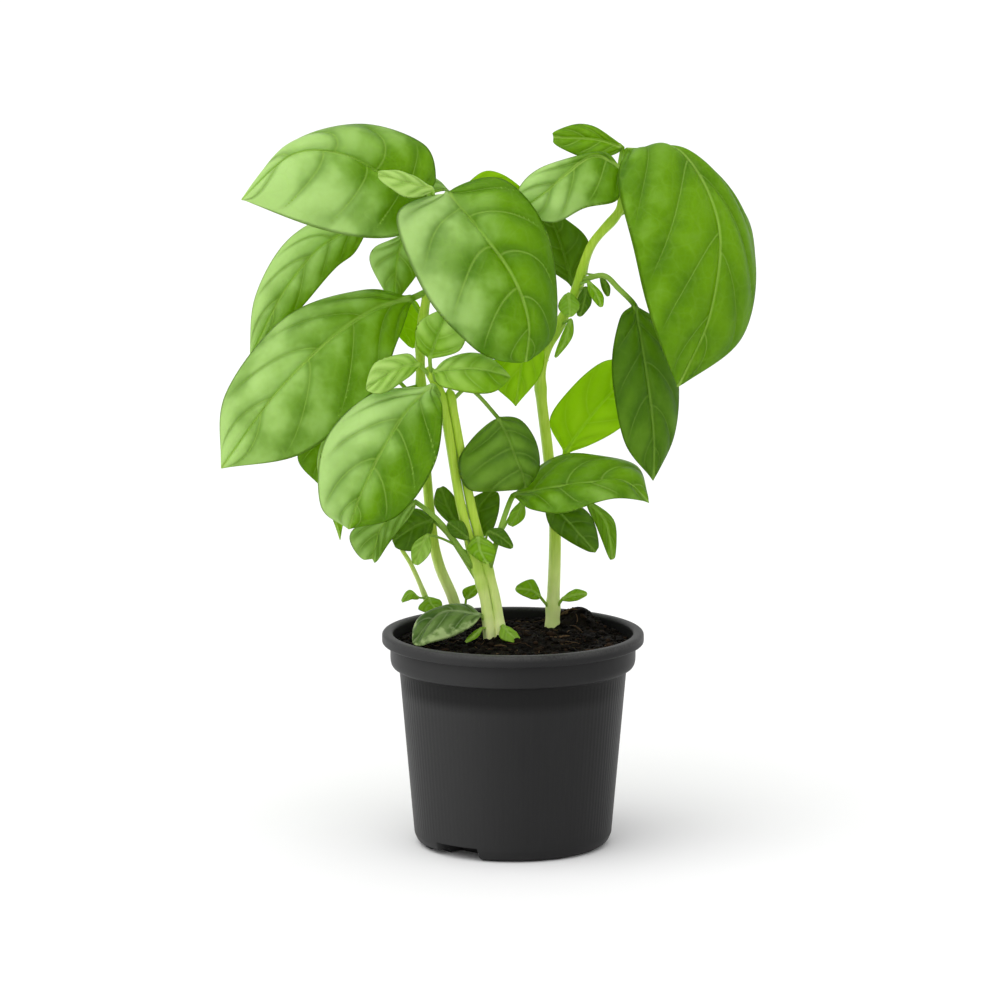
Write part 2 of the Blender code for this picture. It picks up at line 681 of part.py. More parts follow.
def leafFaces(rings):
    """Triangles of a leaf: each one above the blade has its match below, so they can't cross."""
    faces = []
    for low in range(0, 8 * (rings - 1), 8):
        for side in range(8):
            a, b = low + side, low + (side + 1) % 8
            c, d = b + 8, a + 8
            faces += [(a, c, b), (a, d, c)] if side < 4 else [(a, d, b), (b, d, c)]
    faces.append(tuple(range(8)))
    faces.append(tuple(range(8 * rings - 1, 8 * rings - 9, -1)))
    return faces


def makeLeaf(name, leaf):
    """A leaf with its stalk, as one closed solid."""
    rings = leafRings(leaf)
    colour = leafColour
    if "dark" in name or "under" in name:
        colour = darkLeafColour
    if "pale" in name or "young" in name:
        colour = youngLeafColour
    addObject(name, rings.reshape(-1, 3), leafFaces(len(rings)), colour, leafRoughness)


def main():
    for item in list(bpy.data.objects):
        bpy.data.objects.remove(item)
    makePot()
    makeSoil()
    for name, stem in stems.items():
        makeStem(name, stem)
    for name, leaf in leaves.items():
        makeLeaf(name, leaf)


if __name__ == "__main__":
    main()
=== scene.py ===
import math
from functools import cache

import bmesh
import bpy
import numpy as np
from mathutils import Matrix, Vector


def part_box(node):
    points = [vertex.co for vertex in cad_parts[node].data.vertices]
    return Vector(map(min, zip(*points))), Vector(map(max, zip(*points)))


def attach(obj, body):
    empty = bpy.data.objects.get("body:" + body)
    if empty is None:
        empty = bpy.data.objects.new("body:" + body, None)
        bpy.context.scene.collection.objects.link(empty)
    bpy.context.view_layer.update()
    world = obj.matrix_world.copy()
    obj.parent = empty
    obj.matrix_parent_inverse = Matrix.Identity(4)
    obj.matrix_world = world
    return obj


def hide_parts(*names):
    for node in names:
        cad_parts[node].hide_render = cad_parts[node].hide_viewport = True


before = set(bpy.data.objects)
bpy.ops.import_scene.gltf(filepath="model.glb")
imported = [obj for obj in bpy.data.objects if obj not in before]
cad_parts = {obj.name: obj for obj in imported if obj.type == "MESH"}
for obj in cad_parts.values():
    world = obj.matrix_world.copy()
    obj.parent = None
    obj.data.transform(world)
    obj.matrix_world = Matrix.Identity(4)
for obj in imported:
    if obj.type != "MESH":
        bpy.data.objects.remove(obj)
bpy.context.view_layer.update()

millimetre = 0.001
scene = bpy.context.scene
print("frame loaded:", len(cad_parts), "nodes")

# the design's own millimetres are measured from the ground under the pot's middle
potLow, potHigh = (np.array(corner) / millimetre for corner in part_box("pot"))
plantFoot = np.array([(potLow[0] + potHigh[0]) / 2, (potLow[1] + potHigh[1]) / 2, potLow[2]])
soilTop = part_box("soil")[1][2] / millimetre - plantFoot[2]
print("pot foot at", plantFoot.round(2), "soil at", round(soilTop, 2))


class Wire:
    # a socket of a material: sums of wires and numbers add Math nodes

    def __init__(self, tree, socket=None):
        self.tree = tree
        self.socket = socket

    def node(self, kind, settings=(), inputs=(), output=0):
        # any node: its settings first, then a value or a link for each socket
        made = self.tree.nodes.new("ShaderNode" + kind)
        for name, value in dict(settings).items():
            setattr(made, name, value)
        for name, value in dict(inputs).items():
            if isinstance(value, Wire):
                self.tree.links.new(value.socket, made.inputs[name])
            else:
                made.inputs[name].default_value = value
        return Wire(self.tree, made.outputs[output])

    def maths(self, operation, other=None, swap=False):
        # this wire alone, or with another value, which comes first when they are swapped
        values = [self] if other is None else [other, self] if swap else [self, other]
        return self.node("Math", {"operation": operation}, dict(enumerate(values)))

    def __add__(self, other):
        return self.maths("ADD", other)

    def __radd__(self, other):
        return self.maths("ADD", other, swap=True)

    def __sub__(self, other):
        return self.maths("SUBTRACT", other)

    def __rsub__(self, other):
        return self.maths("SUBTRACT", other, swap=True)

    def __mul__(self, other):
        return self.maths("MULTIPLY", other)

    def __rmul__(self, other):
        return self.maths("MULTIPLY", other, swap=True)

    def __truediv__(self, other):
        return self.maths("DIVIDE", other)

    def __rtruediv__(self, other):
        return self.maths("DIVIDE", other, swap=True)

    def __abs__(self):
        return self.maths("ABSOLUTE")

    def parts(self):
        # the three numbers of a vector
        split = self.node("SeparateXYZ", {}, {0: self})
        return [Wire(self.tree, socket) for socket in split.socket.node.outputs]

    def fade(self, start, end):
        # 0 at start, 1 at end, smooth between them; start may be the larger
        return self.node("MapRange", {"interpolation_type": "SMOOTHSTEP"},
                         {"Value": self, "From Min": start, "From Max": end})

    def blend(self, first, second):
        # this wire as the factor between two colours, each a wire or three numbers
        first, second = ((*colour, 1.0) if isinstance(colour, tuple) else colour
                         for colour in (first, second))
        return self.node("Mix", {"data_type": "RGBA"}, {0: self, 6: first, 7: second}, output=2)

    def noise(self, scale, detail):
        # random blotches over this place
        return self.node("TexNoise", {}, {"Vector": self, "Scale": scale, "Detail": detail})

    def upright(self, share):
        # this place squeezed along Z, which draws a pattern out into upright streaks
        return self.node("Mapping", {"vector_type": "POINT"},
                         {"Vector": self, "Scale": (1.0, 1.0, share)})

    def relief(self, strength, depth):
        # this height as a bump
        return self.node("Bump", {}, {"Height": self, "Strength": strength, "Distance": depth})


def newMaterial(name, constants):
    # a Principled material, its shader and the place on its piece that patterns are drawn at; the
    # sockets that never vary are set on the shader itself
    material = bpy.data.materials.new(name)
    material.use_nodes = True
    shader = material.node_tree.nodes["Principled BSDF"]
    for socket, value in constants.items():
        shader.inputs[socket].default_value = value
    return material, shader, Wire(material.node_tree).node("TexCoord", output="Object")


def plug(shader, sockets):
    # links wires to the shader's own sockets
    for name, wire in sockets.items():
        wire.tree.links.new(wire.socket, shader.inputs[name])


def along(points, amounts):
    # a smooth curve through points: each piece is the cubic whose slope at a point is half the
    # step between that point's two neighbours; amounts run from 0, the first, to 1, the last
    points = np.asarray(points, float)
    padded = np.vstack([2 * points[0] - points[1], points, 2 * points[-1] - points[-2]])
    place = np.clip(np.asarray(amounts, float), 0, 1) * (len(points) - 1)
    piece = np.minimum(place.astype(int), len(points) - 2)
    t = (place - piece)[:, None]
    a, b, c, d = (padded[piece + k] for k in range(4))
    return 0.5 * (2 * b + (c - a) * t + (2 * a - 5 * b + 4 * c - d) * t**2
                  + (3 * b - a - 3 * c + d) * t**3)


def unit(vectors):
    # each vector divided by its own length
    return vectors / np.linalg.norm(vectors, axis=-1, keepdims=True)


def easing(values):
    # 0 below 0, 1 above 1, and 3t^2 - 2t^3 between
    values = np.clip(values, 0, 1)
    return values * values * (3 - 2 * values)


def ripple(points, size, seed, waves=14):
    # an even random swell: the mean of sine waves of about that length in random directions
    random = np.random.default_rng(seed)
    directions = unit(random.normal(size=(waves, points.shape[-1])))
    lengths = size * random.uniform(0.7, 1.5, waves)
    phases = random.uniform(0, 2 * math.pi, waves)
    turns = points @ (directions / lengths[:, None]).T * 2 * math.pi
    return np.sin(turns + phases).mean(axis=-1) * math.sqrt(waves / 7)


def tubeFaces(rows, sides):
    # quads of a grid whose columns close into a ring, with a lid at each end
    row, side = np.meshgrid(np.arange(rows - 1), np.arange(sides), indexing="ij")
    after = (side + 1) % sides
    quads = np.stack([row * sides + side, row * sides + after,
                      (row + 1) * sides + after, (row + 1) * sides + side], axis=-1)
    lids = [list(range(sides))[::-1], list(range((rows - 1) * sides, rows * sides))]
    return quads.reshape(-1, 4).tolist() + lids


def addPiece(name, points, faces, material, node, attributes=()):
    # one finished piece from points in millimetres, facing out, riding on the plant's one body
    mesh = bpy.data.meshes.new(name)
    mesh.from_pydata(((points.reshape(-1, 3) + plantFoot) * millimetre).tolist(), [], faces)
    for label, values in dict(attributes).items():
        isVector = values.shape[-1] == 3
        layer = mesh.attributes.new(label, "FLOAT_VECTOR" if isVector else "FLOAT", "POINT")
        layer.data.foreach_set("vector" if isVector else "value",
                               values.astype(np.float32).ravel())
    mesh.materials.append(material)
    work = bmesh.new()
    work.from_mesh(mesh)
    bmesh.ops.remove_doubles(work, verts=work.verts, dist=1e-6)
    if work.calc_volume(signed=True) < 0:
        bmesh.ops.reverse_faces(work, faces=work.faces)
    work.to_mesh(mesh)
    work.free()
    mesh.shade_smooth()
    piece = bpy.data.objects.new(name, mesh)
    scene.collection.objects.link(piece)
    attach(piece, "root")
    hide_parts(node)
    return piece


def strayOf(piece, node):
    # how far the middle of a piece's box lies from the middle of its node's, in millimetres
    corners = np.array(piece.bound_box)
    away = (corners.min(0) + corners.max(0)) / 2 - np.mean(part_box(node), axis=0)
    return float(np.abs(away).max()) / millimetre


pot = {
    "height": 86.3, "lipRadius": 52.5, "lipDrop": 4.5, "collarRadius": 49.2, "collarFoot": 72.5,
    "wallTop": 45.7, "wallFoot": 39.7, "contactRadius": 36.0, "chamfer": 4.2, "wall": 1.2,
    "ledgeDrop": 1.5,  # how far below the collar's foot the wall begins to step out
    "floor": 8.4, "ribs": 132,
    # angle of the middle from the front towards -X, width in degrees, height, inner radius
    "notches": [(35.5, 31.0, 5.4, 26.0), (57.5, 17.0, 2.0, 32.0),
                (215.5, 31.0, 5.4, 26.0), (237.5, 17.0, 2.0, 32.0)],
    "drains": {"distance": 31.0, "radius": 3.0, "depth": 1.6,
               "angles": (27.5, 43.5, 207.5, 223.5)},
    # the plastic's colours and how strong its patches are, with painted light on the sunny left
    # side and painted shade on the inside wall near the top
    "dark": (0.0170, 0.0170, 0.0173), "light": (0.0240, 0.0240, 0.0243),
    "paintedSunSide": (0.052, 0.052, 0.052), "paintedSunSideShare": 0.5,
    "lipScuff": (0.100, 0.099, 0.096), "lipScuffShare": 0.5,
    "footScuff": (0.050, 0.049, 0.047), "footScuffShare": 0.25,
    "inside": (0.010, 0.010, 0.010), "insideShadeShare": 0.8, "specular": 0.07,
}


@cache
def potPlastic():
    # thin moulded plastic: charcoal, faint upright ribs, a fine grain, painted light making its
    # sunny left side paler, paler on the scuffed lip and foot, and painted shade darkening the
    # inside wall near the top; heights and radii here are in metres
    material, shader, place = newMaterial("charcoal_plastic", {
        "Specular IOR Level": pot["specular"]})
    x, y, z = place.parts()
    turn = x.maths("ARCTAN2", y)
    radius = (x * x + y * y).maths("SQRT")
    rib = (turn * pot["ribs"]).maths("SINE")
    onWall = z.fade(0.0715, 0.0690) * z.fade(0.004, 0.010)
    grain = place.noise(1400.0, 3.0)
    cloud = place.noise(26.0, 4.0)
    drag = place.upright(0.03).noise(420.0, 3.0)
    colour = (cloud * 0.5 + drag * 0.5).blend(pot["dark"], pot["light"])
    scuffed = z.fade(0.0835, 0.0858) * (grain * 0.5 + cloud * 0.8).fade(0.45, 0.85)
    colour = (scuffed * pot["lipScuffShare"]).blend(colour, pot["lipScuff"])
    worn = z.fade(0.004, 0.0) * cloud.fade(0.4, 0.7)
    colour = (worn * pot["footScuffShare"]).blend(colour, pot["footScuff"])
    # painted light: paler towards -X, the side the sun comes from
    colour = (x.fade(0.010, -0.034) * pot["paintedSunSideShare"]).blend(colour, pot["paintedSunSide"])
    # painted shade: the inside wall near the top is darkened
    inside = radius.fade(0.0484, 0.0480) * z.fade(0.060, 0.066)
    colour = (inside * pot["insideShadeShare"]).blend(colour, pot["inside"])
    height = rib * onWall * 0.35 + drag * onWall * 0.5 + grain * 0.12
    plug(shader, {"Base Color": colour, "Normal": height.relief(0.25, 0.0003),
                  "Roughness": 0.34 + cloud * 0.14 + grain * 0.05})
    return material


def rounded(corners, steps=5):
    # a profile whose corners are quarter bends: each corner is (radius, height, bend), and a bend
    # runs from a point on the way in to one on the way out, as p = (1-u)^2 a + 2u(1-u) c + u^2 b
    line = []
    for before, here, after in zip([corners[0]] + corners, corners, corners[1:] + [corners[-1]]):
        corner = np.array(here[:2], float)
        bend = here[2] if len(here) > 2 else 0.0
        if not bend:
            line.append(corner)
            continue
        inTurn, outTurn = np.array(before[:2]) - corner, np.array(after[:2]) - corner
        a = corner + unit(inTurn) * min(bend, 0.48 * np.linalg.norm(inTurn))
        b = corner + unit(outTurn) * min(bend, 0.48 * np.linalg.norm(outTurn))
        u = np.linspace(0, 1, steps)[:, None]
        line.extend((1 - u) ** 2 * a + 2 * u * (1 - u) * corner + u**2 * b)
    return np.array(line)


def notchLift(angles, radii):
    # how far the foot is raised at an angle and radius: each notch's height inside its span, eased
    # off over a little over a degree at its sides and 0.8 mm at its inner end
    lift = np.zeros(np.broadcast(angles, radii).shape)
    for middle, span, height, near in pot["notches"]:
        away = np.abs((angles - math.radians(middle) + math.pi) % (2 * math.pi) - math.pi)
        edge = easing((math.radians(span / 2) - away) / math.radians(1.2))
        lift = np.maximum(lift, height * edge * easing((radii - near) / 0.8))
    return lift


def drainPits(angles, radii):
    # round pits up through the notches' roofs: the full depth within a drain's radius
    drains = pot["drains"]
    x, y = -radii * np.sin(angles), -radii * np.cos(angles)
    pits = 0.0
    for angle in np.radians(drains["angles"]):
        away = np.hypot(x + drains["distance"] * math.sin(angle),
                        y + drains["distance"] * math.cos(angle))
        pits = np.maximum(pits, drains["depth"] * easing((drains["radius"] + 0.3 - away) / 0.6))
    return pits


def potProfile():
    # (radius, height) from the middle of the foot out, up the outside, over the lip and down the
    # inside to the floor, in four runs: the foot, its edge, the tapered wall and all above it
    top, ledge = pot["height"], pot["collarFoot"] - pot["ledgeDrop"]
    collar, lip, collarFoot = pot["collarRadius"], pot["lipRadius"], pot["collarFoot"]
    lipFoot, inner = top - pot["lipDrop"], collar - pot["wall"]
    taper = (pot["wallTop"] - pot["wallFoot"]) / (collarFoot - pot["chamfer"])
    foot = [(radius, 0.0) for radius in (0.0, 12.0, 20.0, 25.2, *np.arange(25.6, 34.9, 0.4))]
    edge = rounded([(35.0, 0.0), (pot["contactRadius"], 0.0, 0.5),
                    (pot["wallFoot"] - 1.3, pot["chamfer"] * 0.35, 0.9),
                    (pot["wallFoot"], pot["chamfer"], 1.6), (pot["wallFoot"] + taper, 5.2)])
    heights = np.array([5.6, 6.2, 7, 9, 14, 24, 36, 48, 60, 68])
    wall = np.stack([pot["wallFoot"] + (heights - pot["chamfer"]) * taper, heights], 1)
    above = rounded([
        (pot["wallTop"] - 0.1, ledge), (pot["wallTop"] + 0.1, collarFoot - 0.9, 0.8),
        (collar, collarFoot + 0.2, 3.4), (collar, lipFoot - 0.6, 0.3),
        (lip - 0.6, lipFoot - 0.1, 0.5), (lip, lipFoot + 0.5, 0.6),
        (lip, top - 0.8, 0.8), (lip - 1.0, top, 0.9), (inner + 0.9, top, 0.8),
        (inner, top - 0.9, 0.8), (inner, collarFoot + 1.2, 0.8),
        (pot["wallTop"] - pot["wall"] - 0.1, ledge + 0.2)])
    within = [(pot["wallFoot"] - pot["wall"], 12.0), (pot["wallFoot"] - 2.4, 9.0),
              (20.0, pot["floor"]), (0.0, pot["floor"])]
    return np.array(foot), np.vstack([edge, wall]), np.vstack([above, within])


def makePot():
    # a profile (r, h) turned about Z, (x, y, z) = (-r sin q, -r cos q, h); where a notch lifts the
    # foot, h = max(h, lift) and the outer wall keeps to its taper r(h) at that height
    foot, outer, rest = potProfile()
    profile = np.vstack([foot, outer, rest])
    footRows, outerRows = slice(0, len(foot)), slice(len(foot), len(foot) + len(outer))
    sides = [middle + side * span / 2 + step * side
             for middle, span, height, near in pot["notches"] for side in (-1, 1)
             for step in np.linspace(-1.6, 0.4, 8)]
    within = [np.arange(middle - span / 2, middle + span / 2, 0.75)
              for middle, span, height, near in pot["notches"]]
    degrees = np.concatenate([sides, *within, np.arange(0, 360, 2.0)]) % 360
    q = np.radians(np.unique(np.round(degrees, 2)))[None, :]
    radii = np.repeat(profile[:, :1], q.shape[1], axis=1)
    heights = np.repeat(profile[:, 1:], q.shape[1], axis=1)
    lift = notchLift(q, radii[footRows])
    pits = drainPits(q, radii[footRows]) * (lift > 5.0)
    heights[footRows] = np.maximum(heights[footRows], lift) + pits
    lift = notchLift(q, np.full((1, 1), 40.0))
    raised = lift > outer[:, 1:]
    heights[outerRows] = np.where(raised, lift, heights[outerRows])
    tapered = np.interp(heights[outerRows], outer[1:, 1], outer[1:, 0])
    radii[outerRows] = np.where(raised, tapered, radii[outerRows])
    points = np.stack([-radii * np.sin(q), -radii * np.cos(q), heights], axis=-1)
    addPiece("pot_shell", points, tubeFaces(*radii.shape), potPlastic(), "pot")
    print("pot:", radii.shape[0], "x", radii.shape[1], "grid")


soil = {
    "rings": 96, "spokes": 300, "radius": 47.7, "depth": 7.5,
    "crumbs": 1500, "crumbReach": 46.0, "fibres": 90, "fibreReach": 43.0, "fibreEdge": 46.5,
    "black": (0.0020, 0.0017, 0.0012), "brown": (0.0075, 0.0055, 0.0032),
    "grit": (0.032, 0.021, 0.012), "bark": (0.040, 0.022, 0.011), "straw": (0.090, 0.058, 0.030),
    "specular": 0.05,
}


@cache
def soilEarth():
    # potting soil: black-brown, damp in places, crumbs from black to red-brown, straw fibres; the
    # shade number is 0 to 1 on crumbs and above 1 on fibres
    material, shader, place = newMaterial("potting_soil", {
        "Specular IOR Level": soil["specular"]})
    shade = place.node("Attribute", {"attribute_name": "shade"}, output="Fac")
    coarse = place.noise(260.0, 6.0)
    fine = place.noise(1100.0, 4.0)
    damp = place.noise(45.0, 2.0)
    earth = coarse.fade(0.38, 0.66).blend(soil["black"], soil["brown"])
    earth = (fine.fade(0.62, 0.75) * 0.5).blend(earth, soil["grit"])
    earth = (shade.fade(0.72, 1.0) * 0.55).blend(earth, soil["bark"])
    earth = shade.fade(1.1, 1.9).blend(earth, soil["straw"])
    height = coarse * 0.7 + fine * 0.4
    plug(shader, {"Base Color": earth, "Normal": height.relief(0.9, 0.0012),
                  "Roughness": damp.fade(0.3, 0.7) * 0.35 + 0.6})
    return material


def soilHeight(x, y):
    # rests at the soil's level; a mound at the back right, another at the front stems, a hollow
    # by the front, and swells of three sizes, all fading out in the last 4 mm
    flat = np.stack([x, y], axis=-1)
    mound = 7.5 * np.exp(-((x - 27) ** 2 + (y - 33) ** 2) / 120)
    mound += 2.5 * np.exp(-((x - 5) ** 2 + (y + 2) ** 2) / 160)
    hollow = -2.0 * np.exp(-((x - 22) ** 2 + (y + 20) ** 2) / 260)
    swell = 0.9 * ripple(flat, 17, 5) + 0.7 * ripple(flat, 6, 6) + 0.45 * ripple(flat, 2.6, 7, 20)
    rim = easing((soil["radius"] - np.hypot(x, y)) / 4.0)
    return soilTop + (mound + hollow + swell) * rim - 0.8 * (1 - rim)


def makeSoil():
    # a disc of rings and spokes, (x, y, z) = (r sin q, r cos q, height(x, y)), closed below
    radii = soil["radius"] * np.linspace(0, 1, soil["rings"]) ** 0.8
    q = np.linspace(0, 2 * math.pi, soil["spokes"], endpoint=False)
    x, y = radii[:, None] * np.sin(q), radii[:, None] * np.cos(q)
    low = np.full((1, len(q)), soilTop - soil["depth"])
    top = np.stack([x, y, soilHeight(x, y)], axis=-1)
    wall = np.stack([x[-1:] * 0.985, y[-1:] * 0.985, low], axis=-1)
    base = np.stack([x[:1] * 0, y[:1] * 0, low], axis=-1)
    addPiece("soil_bed", np.concatenate([top, wall, base]), tubeFaces(len(radii) + 2, len(q)),
             soilEarth(), "soil")
    makeCrumbs()
    makeFibres()
    print("soil: bed,", soil["crumbs"], "crumbs,", soil["fibres"], "fibres")


def makeCrumbs():
    # lumps: a 12-cornered ball (the icosahedron), each corner pushed by its own random share,
    # squashed, turned and sunk into the bed
    golden = (1 + math.sqrt(5)) / 2
    ball = np.array([(-1, golden, 0), (1, golden, 0), (-1, -golden, 0), (1, -golden, 0),
                     (0, -1, golden), (0, 1, golden), (0, -1, -golden), (0, 1, -golden),
                     (golden, 0, -1), (golden, 0, 1), (-golden, 0, -1), (-golden, 0, 1)])
    ball /= np.linalg.norm(ball[0])
    sides = [(0, 11, 5), (0, 5, 1), (0, 1, 7), (0, 7, 10), (0, 10, 11), (1, 5, 9), (5, 11, 4),
             (11, 10, 2), (10, 7, 6), (7, 1, 8), (3, 9, 4), (3, 4, 2), (3, 2, 6), (3, 6, 8),
             (3, 8, 9), (4, 9, 5), (2, 4, 11), (6, 2, 10), (8, 6, 7), (9, 8, 1)]
    random = np.random.default_rng(31)
    count = soil["crumbs"]
    radius = soil["crumbReach"] * np.sqrt(random.uniform(0, 1, count))
    angle = random.uniform(0, 2 * math.pi, count)
    x, y = radius * np.sin(angle), radius * np.cos(angle)
    size = random.uniform(0.35, 0.9, count) + 1.5 * random.uniform(0, 1, count) ** 6
    lumps = ball[None] * random.uniform(0.65, 1.25, (count, 12, 1))
    lumps = lumps * random.uniform((0.8, 0.6, 0.5), (1.5, 1.0, 0.8), (count, 3))[:, None]
    turn = random.uniform(0, 2 * math.pi, (count, 1))
    lumps = np.stack([lumps[..., 0] * np.cos(turn) - lumps[..., 1] * np.sin(turn),
                      lumps[..., 0] * np.sin(turn) + lumps[..., 1] * np.cos(turn),
                      lumps[..., 2]], axis=-1) * size[:, None, None]
    place = np.stack([x, y, soilHeight(x, y) + 0.15 * size], axis=-1)
    faces = (np.array(sides)[None] + 12 * np.arange(count)[:, None, None]).reshape(-1, 3)
    shade = np.repeat(random.uniform(0, 1, count), 12)
    addPiece("soil_crumbs", lumps + place[:, None], faces.tolist(), soilEarth(), "soil",
             {"shade": shade})


def makeFibres():
    # root and bark fibres: thin tubes, narrower at both ends, on arcs that lie on the bed
    random = np.random.default_rng(12)
    count, steps, sides = soil["fibres"], 7, 5
    radius = soil["fibreReach"] * np.sqrt(random.uniform(0, 1, count))
    angle = random.uniform(0, 2 * math.pi, count)
    heading = random.uniform(0, 2 * math.pi, count)
    length = random.uniform(3, 10, count)
    bend = random.uniform(-1.2, 1.2, count)
    s = np.linspace(-0.5, 0.5, steps)[None, :]
    way = heading[:, None] + bend[:, None] * s
    x = (radius * np.sin(angle))[:, None] + length[:, None] * s * np.cos(way)
    y = (radius * np.cos(angle))[:, None] + length[:, None] * s * np.sin(way)
    inBed = np.hypot(x, y).max(axis=1) < soil["fibreEdge"]
    x, y, way = x[inBed], y[inBed], way[inBed]
    width = (random.uniform(0.12, 0.45, count)[inBed])[:, None] * (1.05 - np.abs(s) * 1.2)
    centre = np.stack([x, y, soilHeight(x, y) + 0.25], axis=-1)
    turns = np.linspace(0, 2 * math.pi, sides, endpoint=False)[:, None]
    across = np.stack([-np.sin(way), np.cos(way), np.zeros_like(way)], axis=-1)
    ring = across[:, :, None] * np.cos(turns) + np.array([0, 0, 1.0]) * np.sin(turns)
    points = centre[:, :, None] + ring * width[:, :, None, None]
    one = tubeFaces(steps, sides)
    starts = steps * sides * np.arange(len(x))
    faces = (np.array(one[:-2])[None] + starts[:, None, None]).reshape(-1, 4).tolist()
    faces += [[corner + start for corner in lid] for start in starts.tolist() for lid in one[-2:]]
    shade = np.repeat(1.0 + random.uniform(0.2, 1.0, len(x)), steps * sides)
    addPiece("soil_fibres", points, faces, soilEarth(), "soil", {"shade": shade})


# each stem: centre points from the soil up, radius at the foot and at the top
stems = {
    "left_stem": {
        "points": [(-21.5, 33, 82.3), (-24.5, 32, 94), (-30, 30, 108), (-33, 27, 125),
                   (-36, 20, 165), (-37, 12, 200), (-34, 8, 223), (-30, 4, 252)],
        "radii": (2.0, 1.3)},
    "front_stem_left": {
        "points": [(-9, -2, 82.3), (-11, -2.5, 99), (-15, -3, 115), (-21, -4, 139),
                   (-27, -5, 175), (-30.5, -5, 187), (-34, -5.5, 194)],
        "radii": (1.9, 1.5)},
    "front_stem_right": {
        "points": [(-5, -1, 82.3), (-7, -1.5, 99), (-11, -2, 115), (-17, -3, 139), (-23, -4, 172),
                   (-25.5, -4, 185)],
        "radii": (1.9, 1.5)},
    "right_stem": {
        "points": [(16, 25, 82.3), (17, 22, 127), (14, 20, 156), (11, 17, 184), (13, 16, 197),
                   (19, 15, 209), (25, 14, 221), (31, 12, 240), (42, 10, 254), (44, 10, 265)],
        "radii": (2.3, 1.4)},
    "seedling_stem": {
        "points": [(-31, 26, 82.3), (-36, 24, 97), (-41, 22, 109), (-45, 21, 116),
                   (-48, 19, 124)],
        "radii": (0.8, 0.6)},
}


stemStyle = {
    "sides": 28, "stepLength": 1.5, "ridge": 0.06, "nodeSwell": 0.20, "footFlare": 0.22,
    "extra": 0.25,  # mm of skin over the plain stem
    "buried": 3.5,  # how far the foot goes down into the soil
    "deep": (0.380, 0.580, 0.030), "light": (0.500, 0.690, 0.080), "foot": (0.880, 0.960, 0.460),
    "joint": (0.340, 0.580, 0.030), "blotch": (0.400, 0.640, 0.040), "specular": 0.22,
}


@cache
def stemSkin():
    # stem: pale yellow-green with fine lengthwise streaks, paler at the foot, greener at joints
    material, shader, place = newMaterial("basil_stem", {
        "Specular IOR Level": stemStyle["specular"], "Subsurface Weight": 0.12,
        "Subsurface Scale": 0.002, "Subsurface Radius": (0.6, 1.0, 0.2)})
    height = place.node("Attribute", {"attribute_name": "height"}, output="Fac")
    swell = place.node("Attribute", {"attribute_name": "swell"}, output="Fac")
    streak = place.upright(0.06).noise(1500.0, 3.0)
    blotch = place.noise(80.0, 2.0)
    skin = streak.fade(0.2, 0.8).blend(stemStyle["deep"], stemStyle["light"])
    skin = (height.fade(48.0, 2.0) * 0.85).blend(skin, stemStyle["foot"])
    jointShare = swell.fade(0.02, 0.25) * height.fade(8.0, 20.0)
    skin = (jointShare * 0.5).blend(skin, stemStyle["joint"])
    skin = (blotch.fade(0.45, 0.8) * 0.35).blend(skin, stemStyle["blotch"])
    plug(shader, {"Base Color": skin, "Normal": streak.relief(0.25, 0.0003),
                  "Roughness": 0.32 + streak * 0.12})
    return material


def stemAt(name, height):
    # a stem's centre and radius at a height
    amounts = np.linspace(0, 1, 400)
    centres = along(stems[name]["points"], amounts)
    nearest = int(np.argmin(np.abs(centres[:, 2] - height)))
    foot, top = stems[name]["radii"]
    return centres[nearest], foot + (top - foot) * amounts[nearest]


def makeStem(name, stem):
    # rings along the centre line, r = taper (1 + swelling at each joint) (1 + ridge cos 4q); the
    # foot widens and goes down into the soil, and the top closes over in its last 2 mm
    below = np.array(stem["points"][0], float) - (0, 0, stemStyle["buried"])
    line = np.vstack([below, along(stem["points"], np.linspace(0, 1, 300))])
    lengths = np.concatenate([[0], np.cumsum(np.linalg.norm(np.diff(line, axis=0), axis=1))])
    rows = max(16, int(lengths[-1] / stemStyle["stepLength"]))
    here = np.linspace(0, lengths[-1], rows)
    centres = np.stack([np.interp(here, lengths, line[:, k]) for k in range(3)], axis=1)
    forward = unit(np.gradient(centres, axis=0))
    sideways = unit(np.cross(forward, (0, -1, 0)))
    across = np.cross(sideways, forward)
    foot, top = stem["radii"]
    radii = stemStyle["extra"] + foot + (top - foot) * here / lengths[-1]
    swell = np.zeros(rows)
    for leaf in leaves.values():
        if "on" in leaf and leaf["on"][0] == name:
            joint = np.exp(-((centres[:, 2] - leaf["on"][1]) / 3.2) ** 2)
            swell = np.maximum(swell, joint)
    swell = stemStyle["nodeSwell"] * swell
    swell += stemStyle["footFlare"] * np.exp(-((here - stemStyle["buried"]) / 4.0) ** 2)
    radii = radii * (1 + swell) * (1 - 0.7 * easing((here - lengths[-1] + 2) / 2))
    q = np.linspace(0, 2 * math.pi, stemStyle["sides"], endpoint=False)
    twist = 0.5 * np.sin(here / 40)[:, None]
    ridge = 1 + stemStyle["ridge"] * np.cos(4 * (q + twist))
    ridge = ridge + 0.015 * np.cos(9 * q + here[:, None] / 9)
    r = (radii[:, None] * ridge)[..., None]
    points = centres[:, None] + r * (sideways[:, None] * np.cos(q)[None, :, None]
                                     - across[:, None] * np.sin(q)[None, :, None])
    addPiece(name.replace("stem", "stalk"), points, tubeFaces(rows, len(q)), stemSkin(), name,
             {"height": np.repeat(here, len(q)), "swell": np.repeat(swell, len(q))})


